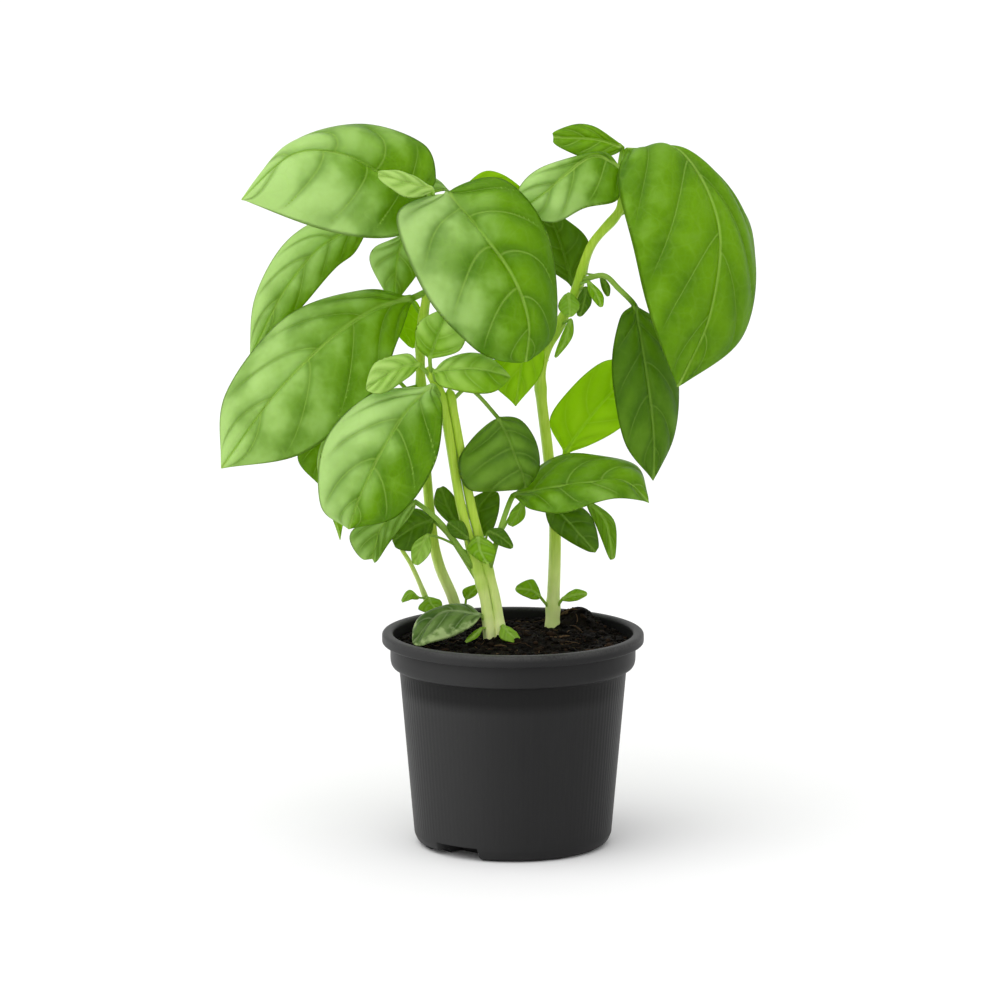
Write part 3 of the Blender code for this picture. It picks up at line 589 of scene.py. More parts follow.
# Each leaf: the stem and height it grows from, its stalk's radius and any points that the stalk
# passes, its midrib from blade base to tip, and the blade's two edges. Left and right are as seen
# on the upper face with the tip pointing up. "oval" is how much rounder its ends are than a curve
# through the edge points.
leaves = {
    "leaf_top_left": {
        "on": ("left_stem", 248), "stalk": 1.2,
        "rib": [(-35, 1, 261), (-51, -2, 270), (-68, -5, 279), (-87, -9, 279), (-107, -14, 262)],
        "left": [(-40, -8, 249), (-59, -17, 247), (-85, -19, 254)],
        "right": [(-30.5, 6, 268), (-36, 10, 281), (-60, 12, 289), (-88, 3, 282)]},
    "leaf_top_small": {
        "on": ("left_stem", 250), "stalk": 0.9,
        "rib": [(-32, -7, 265), (-41, -12, 268), (-53, -16, 272)], "left": [(-42, -16, 263)],
        "right": [(-43, -8, 272)]},
    "leaf_front_centre": {
        "on": ("left_stem", 245), "stalk": 1.2, "oval": 0.3,
        "rib": [(-26, -4, 263), (-12, -14, 248), (0, -21, 232), (6, -25, 215), (5, -26, 199)],
        "left": [(-3, -4, 266), (14, -8, 246), (16, -18, 213)],
        "right": [(-43, -16, 253), (-33, -26, 224), (-14, -28, 206)]},
    "leaf_back_left": {
        "on": ("left_stem", 246), "stalk": 1.0,
        "rib": [(-56, 20, 251), (-70, 21, 243), (-80, 18, 236), (-93, 14, 219), (-105, 8, 195)],
        "left": [(-63, 18, 237), (-71, 15, 231), (-84, 12, 216)],
        "right": [(-75, 26, 250), (-91, 22, 240), (-103, 16, 219)]},
    "leaf_big_left": {
        "on": ("left_stem", 222), "stalk": 1.3,
        "rib": [(-40, 6, 220), (-57, 1, 215), (-75, -6, 203), (-95, -10, 183), (-116, -10, 154)],
        "left": [(-46, -4, 204), (-56, -12, 184), (-83, -14, 161)],
        "right": [(-60, 8, 223), (-91, 4, 212), (-114, -4, 183)]},
    "leaf_centre_left": {
        "on": ("front_stem_left", 182), "stalk": 1.2,
        "rib": [(-32, -10, 187), (-42, -18, 178), (-52, -25, 163), (-60, -29, 147),
                (-65, -30, 133)],
        "left": [(-28, -20, 179), (-31, -27, 159), (-45, -31, 139)],
        "right": [(-56, -12, 184), (-74, -18, 167), (-76, -25, 142)]},
    "young_leaf_upper": {
        "on": ("front_stem_left", 191), "stalk": 0.8,
        "rib": [(-33, -9, 198), (-30, -11, 207), (-26, -9, 218)],
        "left": [(-38, -12, 204), (-37, -12, 212.5)],
        "right": [(-21.5, -14, 202), (-19, -14, 210)]},
    "young_leaf_right": {
        "on": ("front_stem_left", 188), "stalk": 0.8,
        "rib": [(-31, -10.5, 193), (-15, -14, 194.5), (-1, -11, 191)],
        "left": [(-24, -8.5, 198.5), (-12, -9, 199.5)],
        "right": [(-27, -16, 187.5), (-10, -17, 185.5)]},
    "young_leaf_left": {
        "on": ("front_stem_left", 190), "stalk": 0.8,
        "rib": [(-37, -9, 195.5), (-46, -15, 194.5), (-58, -18, 187)],
        "left": [(-42, -15, 191), (-51, -20, 186)],
        "right": [(-42.5, -8, 199.5), (-54, -14, 197)]},
    "leaf_centre_bright": {
        "on": ("right_stem", 205), "stalk": 0.9, "via": [(14, 5, 213), (11.5, 1, 219)],
        "rib": [(9, -1, 218), (4, -3, 198), (1, -4, 178)], "left": [(12, -2, 194)],
        "right": [(-9, -2, 192)]},
    "leaf_hanging_left": {
        "on": ("left_stem", 238), "stalk": 0.9, "via": [(-36, 6, 243), (-40, 5, 247)],
        "rib": [(-43, 7, 246), (-46, 13, 235), (-48, 17, 215)], "left": [(-36, 12, 234)],
        "right": [(-57, 13, 236)]},
    "leaf_left_inner": {
        "on": ("left_stem", 212), "stalk": 0.7,
        "rib": [(-41, 16, 218), (-44, 18, 208), (-40, 18, 198)], "left": [(-36, 20, 208)],
        "right": [(-50, 17, 210)]},
    "leaf_right_behind": {
        "on": ("right_stem", 138), "stalk": 1.0,
        "rib": [(21, 26, 154), (27, 27, 163), (34, 28, 172), (42, 28, 181), (51, 27, 191)],
        "left": [(15, 30, 167), (24, 32, 180), (37, 30, 191)],
        "right": [(31, 24, 158), (42, 24, 164), (53, 24, 175)]},
    "leaf_right_hanging": {
        "on": ("right_stem", 226), "stalk": 1.1, "via": [(36, 6, 229), (42, 4, 224)],
        "rib": [(48, 2, 218), (51, -1, 202), (54, -3, 184), (56, -4, 166), (56, -4, 148)],
        "left": [(59, 6, 209), (66, 6, 188), (64, 2, 165)],
        "right": [(42, -2, 212), (39.5, -5, 190), (44.5, -6, 164)]},
    "leaf_big_right": {
        "on": ("right_stem", 261), "stalk": 1.4,
        "rib": [(45, 12, 278), (66, 7, 279), (81, -6, 252), (78, -16, 218), (65, -20, 188)],
        "left": [(88, 16, 258), (96, 4, 235), (90.5, -8, 206)],
        "right": [(41.4, -6, 268), (48.4, -18, 238), (55.8, -22, 211)]},
    "leaf_top_centre": {
        "on": ("right_stem", 261), "stalk": 1.1,
        "rib": [(43.5, 4, 271), (32, 4, 277), (21, 2, 270), (13, 2, 263), (2, 4, 255)],
        "left": [(41, -1, 260), (28, -1, 257), (16, 0, 251)],
        "right": [(35, 8, 278), (14, 8, 273), (3, 6, 265)]},
    "leaf_top_wavy": {
        "on": ("right_stem", 260), "stalk": 0.9, "via": [(42, 15, 268)],
        "rib": [(43.5, 17, 279), (33, 18, 282), (16, 17, 283)], "left": [(30, 14, 275)],
        "right": [(29, 19, 288)]},
    "leaf_behind_front": {
        "on": ("left_stem", 250), "stalk": 0.9,
        "rib": [(-25, 10, 260), (-9, 15, 264), (8, 20, 259)], "left": [(-9, 13, 270)],
        "right": [(-9, 21, 254)]},
    "leaf_behind_right": {
        "on": ("right_stem", 218), "stalk": 0.8,
        "rib": [(24, 19, 223), (19, 19, 240), (13, 17, 256)], "left": [(7, 15, 238)],
        "right": [(30, 18, 241)]},
    "young_leaf_point": {
        "on": ("right_stem", 225), "stalk": 0.5,
        "rib": [(30, 3, 227), (33, 2, 222), (35, 1, 217)], "left": [(35.5, 2, 222)],
        "right": [(30.5, 1, 222)]},
    "young_leaf_dark": {
        "on": ("right_stem", 222), "stalk": 0.5,
        "rib": [(29, 8, 224), (28, 7, 218), (26.5, 6, 212.5)], "left": [(31.2, 8, 218)],
        "right": [(25.2, 6, 218)]},
    "young_leaf_pale": {
        "on": ("right_stem", 218), "stalk": 0.5,
        "rib": [(22, 5, 222), (22.5, 2, 217), (22.5, 1, 213)], "left": [(26.5, 3, 217.5)],
        "right": [(18, 3, 217)]},
    "young_leaf_tiny": {
        "on": ("right_stem", 229), "stalk": 0.4,
        "rib": [(35, 13, 228), (37, 12, 224), (38, 11, 220)], "left": [(38.5, 12, 224)],
        "right": [(35.5, 12, 223)]},
    "young_leaf_narrow": {
        "on": ("right_stem", 208), "stalk": 0.5,
        "rib": [(23, 9, 211), (21, 8, 203), (17, 9, 195.5)], "left": [(23.6, 9, 204)],
        "right": [(18.8, 9, 203)]},
    "leaf_centre_dark": {
        "on": ("front_stem_right", 181), "stalk": 0.8, "via": [(-17, -5, 185)],
        "rib": [(-6, -8, 174), (-2, -12, 167), (1, -14, 159), (4, -14, 152), (5, -12, 146)],
        "left": [(3, -6, 172), (9, -6, 164), (10, -9, 154)],
        "right": [(-16, -6, 164.5), (-21.5, -8.5, 156), (-16, -10, 146)]},
    "leaf_right_low": {
        "on": ("front_stem_right", 112), "stalk": 1.1, "via": [(-5, -6, 129)],
        "rib": [(0, -4, 142), (15, -10, 146), (29, -12, 148.5), (44, -10, 149), (54.5, -7, 140)],
        "left": [(12, 6, 153.5), (29, 8, 157), (49, 5, 152.5)],
        "right": [(8, -18, 138.5), (21, -24, 139), (41, -19, 143.5)]},
    "leaf_right_under": {
        "on": ("right_stem", 130), "stalk": 0.8,
        "rib": [(15, 0, 138), (24, -4, 129), (33, -4, 119)], "left": [(30, 2, 134)],
        "right": [(16, -2, 128)]},
    "leaf_right_narrow": {
        "on": ("right_stem", 133), "stalk": 0.6,
        "rib": [(30, 6, 138), (37, 4, 130), (40, 2, 115)], "left": [(40.5, 5, 130)],
        "right": [(34, 3, 127)]},
    "leaf_low_tip": {
        "on": ("front_stem_right", 116), "stalk": 0.6, "via": [(-2, 7, 130), (3, 8, 137)],
        "rib": [(4, 5, 138), (2.5, 2.5, 134), (-1, 0, 129)], "left": [(4.5, 2, 132)],
        "right": [(-1, 2, 134)]},
    "leaf_behind_stems": {
        "on": ("front_stem_right", 118), "stalk": 0.6,
        "rib": [(-12, 4, 124), (-14, 6, 134), (-8, 8, 142)], "left": [(-19, 6, 136)],
        "right": [(-6, 6, 133)]},
    "leaf_beside_stems": {
        "on": ("front_stem_left", 120), "stalk": 0.6,
        "rib": [(-22, 2, 128), (-26, 3, 136), (-29, 4, 144)], "left": [(-31, 3, 136)],
        "right": [(-23, 4, 139)]},
    "young_leaf_stem_left": {
        "on": ("front_stem_left", 121), "stalk": 0.5,
        "rib": [(-18, -7, 125), (-22, -9, 129), (-26, -10, 132)], "left": [(-24, -11, 127)],
        "right": [(-20, -8, 132)]},
    "young_leaf_stem_front": {
        "on": ("front_stem_left", 118), "stalk": 0.6,
        "rib": [(-14, -8, 126), (-13, -12, 121), (-10, -13, 116)], "left": [(-7, -11, 122)],
        "right": [(-18, -10, 121)]},
    "young_leaf_stem_right": {
        "on": ("front_stem_right", 120), "stalk": 0.5,
        "rib": [(-10, -7, 128), (-5, -9, 126), (0, -10, 122)], "left": [(-4, -8, 129)],
        "right": [(-7, -11, 124)]},
    "leaf_low_left": {
        "on": ("front_stem_left", 112), "stalk": 1.0, "via": [(-28, -9, 131)],
        "rib": [(-39, -12, 141), (-51, -14, 133), (-56, -14, 118)], "left": [(-49, -13.5, 125)],
        "right": [(-64, -12, 129)]},
    "leaf_low_left_dark": {
        "on": ("front_stem_left", 106), "stalk": 0.7, "via": [(-25, -1, 124)],
        "rib": [(-32, -4, 132), (-39, -7, 130), (-48, -8, 124)], "left": [(-37, -8, 121)],
        "right": [(-41, -2, 136)]},
    "leaf_low_left_pale": {
        "on": ("front_stem_left", 118), "stalk": 0.5, "via": [(-27, -4, 124)],
        "rib": [(-34, -14, 128), (-36.5, -15, 123), (-39, -15, 116)], "left": [(-33, -15, 121)],
        "right": [(-40, -15, 123.5)]},
    "leaf_left_edge": {
        "on": ("left_stem", 183), "stalk": 0.8,
        "rib": [(-67, 2, 178), (-75, -1, 151), (-69, -4, 124)], "left": [(-65, 0, 151)],
        "right": [(-78, 0, 155)]},
    "leaf_left_lower": {
        "on": ("left_stem", 176), "stalk": 0.8, "via": [(-50, 17, 188), (-61, 15, 188)],
        "rib": [(-67, 13, 181), (-74, 12, 160), (-76, 10, 142)], "left": [(-64, 12, 162)],
        "right": [(-86, 11, 157)]},
    "seed_leaf_right_a": {
        "on": ("right_stem", 91), "stalk": 0.6, "rib": [(11, 22, 96), (7, 20, 99), (1, 18, 100)],
        "left": [(7, 18, 96)], "right": [(8, 22, 103)]},
    "seed_leaf_right_b": {
        "on": ("right_stem", 91), "stalk": 0.6,
        "rib": [(20, 22, 95), (25, 20, 97), (30, 18, 98)], "left": [(25, 22, 99)],
        "right": [(25, 18, 95)]},
    "seedling_behind": {
        "foot": (-20, 28, 82.3), "stalk": 0.5,
        "rib": [(-19, 28, 94), (-17, 27, 97), (-14, 26, 100)], "left": [(-20, 27, 98)],
        "right": [(-15, 26, 96)]},
    "seed_leaf_left_pale": {
        "on": ("seedling_stem", 95), "stalk": 0.4,
        "rib": [(-38, 20, 96), (-41, 19, 98), (-45, 18, 95)], "left": [(-41, 16, 96)],
        "right": [(-42, 21, 99)]},
    "seed_leaf_left_round": {
        "on": ("seedling_stem", 96), "stalk": 0.4,
        "rib": [(-34, 20, 96), (-33, 17, 94), (-30, 14, 91)], "left": [(-29, 17, 95)],
        "right": [(-38, 16, 92)]},
    "leaf_on_soil": {
        "on": ("front_stem_left", 91), "stalk": 0.8,
        "rib": [(-13, -4, 93.5), (-28, -4, 94.5), (-40, -13, 84)],
        "left": [(-20, -12, 88.5), (-34, -17, 84.4)], "right": [(-21, 4, 96.5), (-37, -1, 92.5)]},
    "base_leaf_left": {
        "on": ("front_stem_left", 88), "stalk": 0.5,
        "rib": [(-12.5, -6, 88.5), (-14.5, -8, 86.5), (-19, -10, 83.6)],
        "left": [(-14.2, -9, 85.5)], "right": [(-16.2, -7.2, 87)]},
    "base_leaf_right": {
        "on": ("front_stem_right", 88), "stalk": 0.5,
        "rib": [(-4, -5, 89.5), (-2, -6.5, 87), (2.5, -8, 83.6)], "left": [(1, -5, 87)],
        "right": [(-5, -9, 85)]},
    "back_leaf_centre": {
        "on": ("left_stem", 200), "stalk": 1.0,
        "rib": [(-28, 26, 205), (-14, 40, 208), (0, 54, 190)], "left": [(-24, 48, 200)],
        "right": [(0, 34, 202)]},
    "back_leaf_right": {
        "on": ("right_stem", 250), "stalk": 1.0, "via": [(44, 18, 253)],
        "rib": [(54, 26, 256), (66, 42, 250), (78, 54, 230)], "left": [(84, 38, 243)],
        "right": [(54, 54, 238)]},
    "back_leaf_left": {
        "on": ("left_stem", 163), "stalk": 1.1,
        "rib": [(-48, 32, 172), (-64, 46, 175), (-80, 56, 158)], "left": [(-72, 34, 164)],
        "right": [(-52, 58, 168)]},
    "back_leaf_top": {
        "on": ("left_stem", 250), "stalk": 1.0,
        "rib": [(-34, 18, 262), (-39, 32, 266), (-48, 46, 254)], "left": [(-52, 32, 260)],
        "right": [(-26, 40, 259)]},
    "back_leaf_middle": {
        "on": ("right_stem", 182), "stalk": 1.0,
        "rib": [(8, 30, 190), (0, 44, 196), (-6, 57, 184)], "left": [(14, 50, 188)],
        "right": [(-14, 40, 188)]},
}

# painted light that sets a leaf's colour apart: how much painted sheen pales it (below 0, painted
# shade darkens it), how much painted glow it has beside its midrib, and how much the painted sheen
# grows towards its tip and towards its right edge
plainPaintedLight = (0.0, 0.3, 0.0, 0.0)
paintedLeafLight = {
    "leaf_top_left": (0.34, 1.0, 0.95, -0.20), "leaf_top_small": (1.0, 0.2, 0.0, 0.0),
    "leaf_front_centre": (-0.05, 0.7, -0.60, 0.75), "leaf_back_left": (0.50, 0.3, 0.1, 0.55),
    "leaf_big_left": (0.28, 0.9, 0.48, 0.28), "leaf_centre_left": (0.44, 0.9, -0.35, 0.80),
    "leaf_hanging_left": (0.45, 0.4, 0.0, 0.6), "leaf_left_edge": (0.60, 0.3, -0.9, 0.2),
    "young_leaf_upper": (0.55, 1.0, 0.4, 0.1), "young_leaf_left": (0.65, 0.8, 0.5, 0.1),
    "young_leaf_right": (0.40, 0.8, -0.1, -0.4), "leaf_big_right": (-0.32, 0.7, -0.15, 0.20),
    "leaf_top_centre": (0.45, 0.2, 0.75, 0.15), "leaf_right_low": (-0.15, 0.5, 0.1, 0.15),
    "leaf_low_left": (0.36, 0.2, 0.1, 0.1), "leaf_low_left_pale": (0.45, 0.2, 0.2, 0.0),
    "leaf_left_lower": (0.10, 0.8, -0.2, 0.0), "young_leaf_pale": (0.3, 0.0, 0.0, 0.0),
    "leaf_centre_dark": (0.45, 0.1, 0.0, 0.2), "leaf_top_wavy": (-0.25, 0.5, 0.0, 0.0),
}
# painted shade: leaves hanging behind and under others take the darker finish
shadedLeaves = ("leaf_right_hanging", "leaf_behind_right", "young_leaf_dark", "young_leaf_tiny",
              "leaf_centre_dark", "leaf_right_under", "leaf_behind_stems", "leaf_beside_stems",
              "young_leaf_stem_left", "young_leaf_stem_right", "leaf_low_left_dark")
paleLeaves = ("leaf_top_small", "leaf_centre_bright", "leaf_low_tip", "leaf_low_left_pale",
              "leaf_left_edge", "leaf_on_soil", "base_leaf_left", "base_leaf_right",
              "seedling_behind")
# leaves that the light shines through, whose finish also brightens their greens as painted glow,
# and the speckled one on the soil
otherFinish = {"leaf_on_soil": "speckled", "leaf_centre_bright": "leaf_lit",
               "leaf_right_behind": "leaf_lit", "leaf_behind_front": "leaf_lit",
               "leaf_left_inner": "leaf_lit"}

# in each finish the pale green is painted sheen; on the speckled leaf it also colours the real pale
# spots
leafFinishes = {
    "leaf": {"deep": (0.042, 0.120, 0.001), "main": (0.140, 0.300, 0.001),
             "pale": (0.560, 0.790, 0.290), "under": (0.260, 0.430, 0.060),
             "vein": (0.420, 0.620, 0.120), "roughness": 0.38, "through": 0.42},
    "leaf_young": {"deep": (0.150, 0.330, 0.003), "main": (0.260, 0.490, 0.006),
                   "pale": (0.600, 0.840, 0.240), "under": (0.330, 0.530, 0.060),
                   "vein": (0.480, 0.700, 0.150), "roughness": 0.38, "through": 0.42},
    # painted shade: the plain leaf's greens darkened
    "leaf_dark": {"deep": (0.030, 0.090, 0.001), "main": (0.070, 0.170, 0.002),
                  "pale": (0.190, 0.350, 0.040), "under": (0.130, 0.240, 0.020),
                  "vein": (0.200, 0.350, 0.050), "roughness": 0.42, "through": 0.30},
    # painted glow: brighter greens for leaves the light shines through, with more real translucency
    "leaf_lit": {"deep": (0.200, 0.370, 0.002), "main": (0.360, 0.600, 0.004),
                 "pale": (0.520, 0.720, 0.040), "under": (0.400, 0.600, 0.020),
                 "vein": (0.560, 0.740, 0.100), "roughness": 0.42, "through": 0.62},
    "speckled": {"deep": (0.030, 0.080, 0.006), "main": (0.070, 0.150, 0.014),
                 "pale": (0.360, 0.480, 0.190), "under": (0.200, 0.320, 0.080),
                 "vein": (0.300, 0.410, 0.170), "roughness": 0.42, "through": 0.15},
}
leafMarks = {
    # valley: how strongly painted shade darkens the valleys beside the side veins
    "net": 0.05, "branch": 0.07, "valley": 0.38, "sideVein": 0.38, "midVein": 0.72, "margin": 0.5,
    "netScale": 330.0, "branchScale": 125.0, "blotchScale": 62.0, "grainScale": 900.0,
    "specular": 0.15, "stalk": (0.30, 0.46, 0.085), "throughColour": (0.54, 0.80, 0.015, 1.0),
}
leafStyle = {
    "thickness": 0.22,  # half of it, away from the veins
    "crown": 0.07,  # how far each half rises, as a share of the leaf's width
    "puff": 0.020,  # how far the fields between the veins rise, as a share of the width
    "reach": 0.50,  # how far a side vein leans towards the tip on its way out
    "groove": 0.65,  # mm that the midrib is sunk
    "marginWave": 0.5,  # mm
    "smallLength": 31.0, "onePointOval": 0.7, "twoPointOval": 0.25,
    "veinPairs": ((55, 4.3), (25, 3.6), (0, 2.8)),  # above each length in mm
}


def leafSlot(name):
    # the record's slot for a leaf
    if name in shadedLeaves:
        return "leaf_dark"
    return "leaf_young" if name in paleLeaves or name.startswith(("young", "seed")) else "leaf"


@cache
def leafFinish(kind):
    # leaf skin: fields of three greens, the deep one towards the veins as painted shade and the
    # pale one as painted sheen, with painted shade over leaves whose painted light number is below
    # 0 and a painted glow beside the midrib, a pale midrib and side veins drawn along the piece's
    # own vein numbers, a fine net between them, painted shade in the valleys beside the side veins,
    # a darker margin, a paler underside, light let through
    tint, marks = leafFinishes[kind], leafMarks
    material, shader, place = newMaterial("basil_" + kind, {
        "Specular IOR Level": marks["specular"]})
    (across, t, top), (phase, spacing, ribShare), (tone, paintedGlow, stalk) = (
        place.node("Attribute", {"attribute_name": name}, output="Vector").parts()
        for name in ("blade", "veins", "tone"))
    off = abs(across)
    onBlade = t.fade(0.0, 0.03)
    veinAway = (0.5 - abs(phase.maths("FRACT") - 0.5)) * spacing
    sideVein = veinAway.fade(0.62, 0.10) * off.fade(0.97, 0.62) * onBlade
    valley = veinAway.fade(2.6, 0.3) * off.fade(1.0, 0.6) * onBlade
    midVein = ribShare.fade(1.4, 0.7) * onBlade
    edges = {"feature": "DISTANCE_TO_EDGE"}
    net = place.node("TexVoronoi", edges, {
        "Vector": place, "Scale": marks["netScale"], "Randomness": 0.9}).fade(0.16, 0.02)
    branch = place.node("TexVoronoi", edges, {
        "Vector": place, "Scale": marks["branchScale"], "Randomness": 1.0}).fade(0.07, 0.005)
    blotch = place.noise(marks["blotchScale"], 3.0)
    grain = place.noise(marks["grainScale"], 2.0)

    # painted shade: the fields deepen towards the veins, among random blotches
    field = (veinAway / spacing).fade(0.02, 0.42) * 0.45 + blotch.fade(0.38, 0.64) * 0.55
    # painted glow: brighter green beside the midrib, standing for light let through
    green = (field + paintedGlow * off.fade(0.8, 0.1) * 0.3).blend(tint["deep"], tint["main"])
    # painted sheen: pale green laid over the leaf where its painted light number is high
    paintedSheenShare = (tone + (blotch - 0.5) * 0.8 - (0.5 - field) * 0.35).fade(-0.1, 1.15)
    green = paintedSheenShare.blend(green, tint["pale"])
    # painted shade: a painted light number below 0 darkens the leaf
    green = (tone.fade(-0.05, -1.0) * 0.75).blend(green, tint["deep"])
    green = (net * marks["net"] + branch * marks["branch"]).blend(green, tint["vein"])
    # painted shade in the valleys beside the side veins
    green = (valley * marks["valley"]).blend(green, tint["deep"])
    green = (sideVein * marks["sideVein"]).blend(green, tint["vein"])
    green = (midVein * marks["midVein"]).blend(green, tint["vein"])
    green = (off.fade(0.955, 1.0) * onBlade * marks["margin"]).blend(green, tint["deep"])
    if kind == "speckled":
        spots = place.noise(420.0, 4.0) * 0.8 + place.noise(130.0, 2.0) * 0.3
        spots = spots + off.fade(0.45, 0.95) * 0.30
        green = spots.fade(0.66, 0.92).blend(green, tint["pale"])
    green = (top.fade(0.7, 0.3) * 0.85).blend(green, tint["under"])
    skin = stalk.fade(0.0, 0.3).blend(green, marks["stalk"])

    height = net * -0.05 + branch * -0.09 - sideVein * 0.45 - valley * 0.5 - midVein * 0.3
    height = height * (top * 2.0 - 1.0) + grain * 0.06
    rough = tint["roughness"] + (grain - 0.5) * 0.12 + sideVein * 0.08
    plug(shader, {"Base Color": skin, "Normal": height.relief(0.8, 0.0006), "Roughness": rough})
    shine = place.node("BsdfTranslucent", {}, {"Color": marks["throughColour"]})
    mixed = place.node("MixShader", {}, {
        0: tint["through"], 1: Wire(place.tree, shader.outputs[0]), 2: shine})
    place.tree.links.new(mixed.socket, place.tree.nodes["Material Output"].inputs["Surface"])
    return material


def leafStart(leaf):
    # a stalk begins inside its stem, or at its foot in the soil
    if "foot" in leaf:
        return np.array(leaf["foot"], float) - (0, 0, 2)
    centre, radius = stemAt(*leaf["on"])
    towards = unit(np.array(leaf.get("via", leaf["rib"])[0], float) - centre)
    return centre + unit(towards * (1, 1, 0)) * radius * 0.6


def leafLines(leaf, length):
    # row by row from the stem to the tip: t, which is 0 on the stalk and then runs along the blade
    # as s - 0.09 sin 2 pi s; how near the row is to the stem; the middle line; and the two edges,
    # middle + (edge - middle) (4 t (1 - t))^-oval
    rib = leaf["rib"]
    route = [leafStart(leaf), *leaf.get("via", []), rib[0]]
    stalkRows = int(np.clip(4 * len(route), 8, 16))
    s = np.linspace(0, 1, int(np.clip(length, 22, 96)))
    t = np.concatenate([np.zeros(stalkRows), s - 0.09 * np.sin(2 * math.pi * s)])
    steps = np.linspace(0, 1, stalkRows, endpoint=False)
    beyond = rib[0] + 0.6 * np.subtract(along(rib, [0.1])[0], rib[0])
    stalk = along([*route, beyond], steps * (len(route) - 1) / len(route))
    middle = np.vstack([stalk, along(rib, t[stalkRows:])])
    small = np.linalg.norm(np.subtract(rib[0], rib[-1])) < leafStyle["smallLength"]
    given = leafStyle["onePointOval" if len(leaf["left"]) == 1 else "twoPointOval"]
    swell = (4 * t * (1 - t)).clip(0.02, 1) ** -leaf.get("oval", given if small else 0.0)
    left, right = (
        middle + swell[:, None] * (along([rib[0], *leaf[side], rib[-1]], t) - middle)
        * (t[:, None] > 0) for side in ("left", "right"))
    return t, np.concatenate([1 - steps, np.zeros(len(s))]), middle, left, right


def leafAxes(middle, left, right, spread, stalkRows):
    # each row's sideways and up: along the line between the edges, square to the middle line, and
    # their cross product; the stalk turns as little as it can
    forward = unit(np.gradient(middle, axis=0))
    wide = right - left + 1e-3 * spread
    sideways = unit(wide - (wide * forward).sum(1, keepdims=True) * forward)
    for row in range(stalkRows + 1, -1, -1):
        turned = sideways[row + 1]
        sideways[row] = unit(turned - (turned @ forward[row]) * forward[row])
    sideways[-1] = sideways[-2]
    return sideways, unit(np.cross(sideways, forward))


def leafSkins(surface, up, sideways, a, t, reachOut, stalk, width):
    # two skins at a radius r(t, a) off the sheet, which is the stalk's before the blade begins and
    # thins out away from the midrib: surface + r (sideways sin q +- normal cos q), q = a pi / 2
    normal = np.cross(np.gradient(surface, axis=1), np.gradient(surface, axis=0))
    size = np.linalg.norm(normal, axis=2, keepdims=True)
    normal = unit(normal / (size + 0.02 * size.max()) + 0.04 * up[:, None])
    thin = leafStyle["thickness"] * min(1.0, 0.6 + width / 60)
    near = np.exp(-(reachOut / (1.25 * stalk)) ** 2)
    topRadius = thin + (stalk - thin) * (1 - easing(5 * t)) * near
    underRadius = thin + np.maximum(stalk * (1 - 0.85 * easing(1.15 * t)) - thin, 0) * near
    turn = a * math.pi / 2
    side = sideways[:, None] * np.sin(turn)[None, :, None]
    roof = normal * np.cos(turn)[None, :, None]
    edgeRadius = (topRadius + underRadius) / 2
    share = np.abs(a)[None, :] ** 4
    top = surface + (side + roof) * (topRadius * (1 - share) + edgeRadius * share)[..., None]
    under = surface + (side - roof) * (underRadius * (1 - share) + edgeRadius * share)[..., None]
    return np.concatenate([top[:, ::-1], under[:, 1:-1]], axis=1)


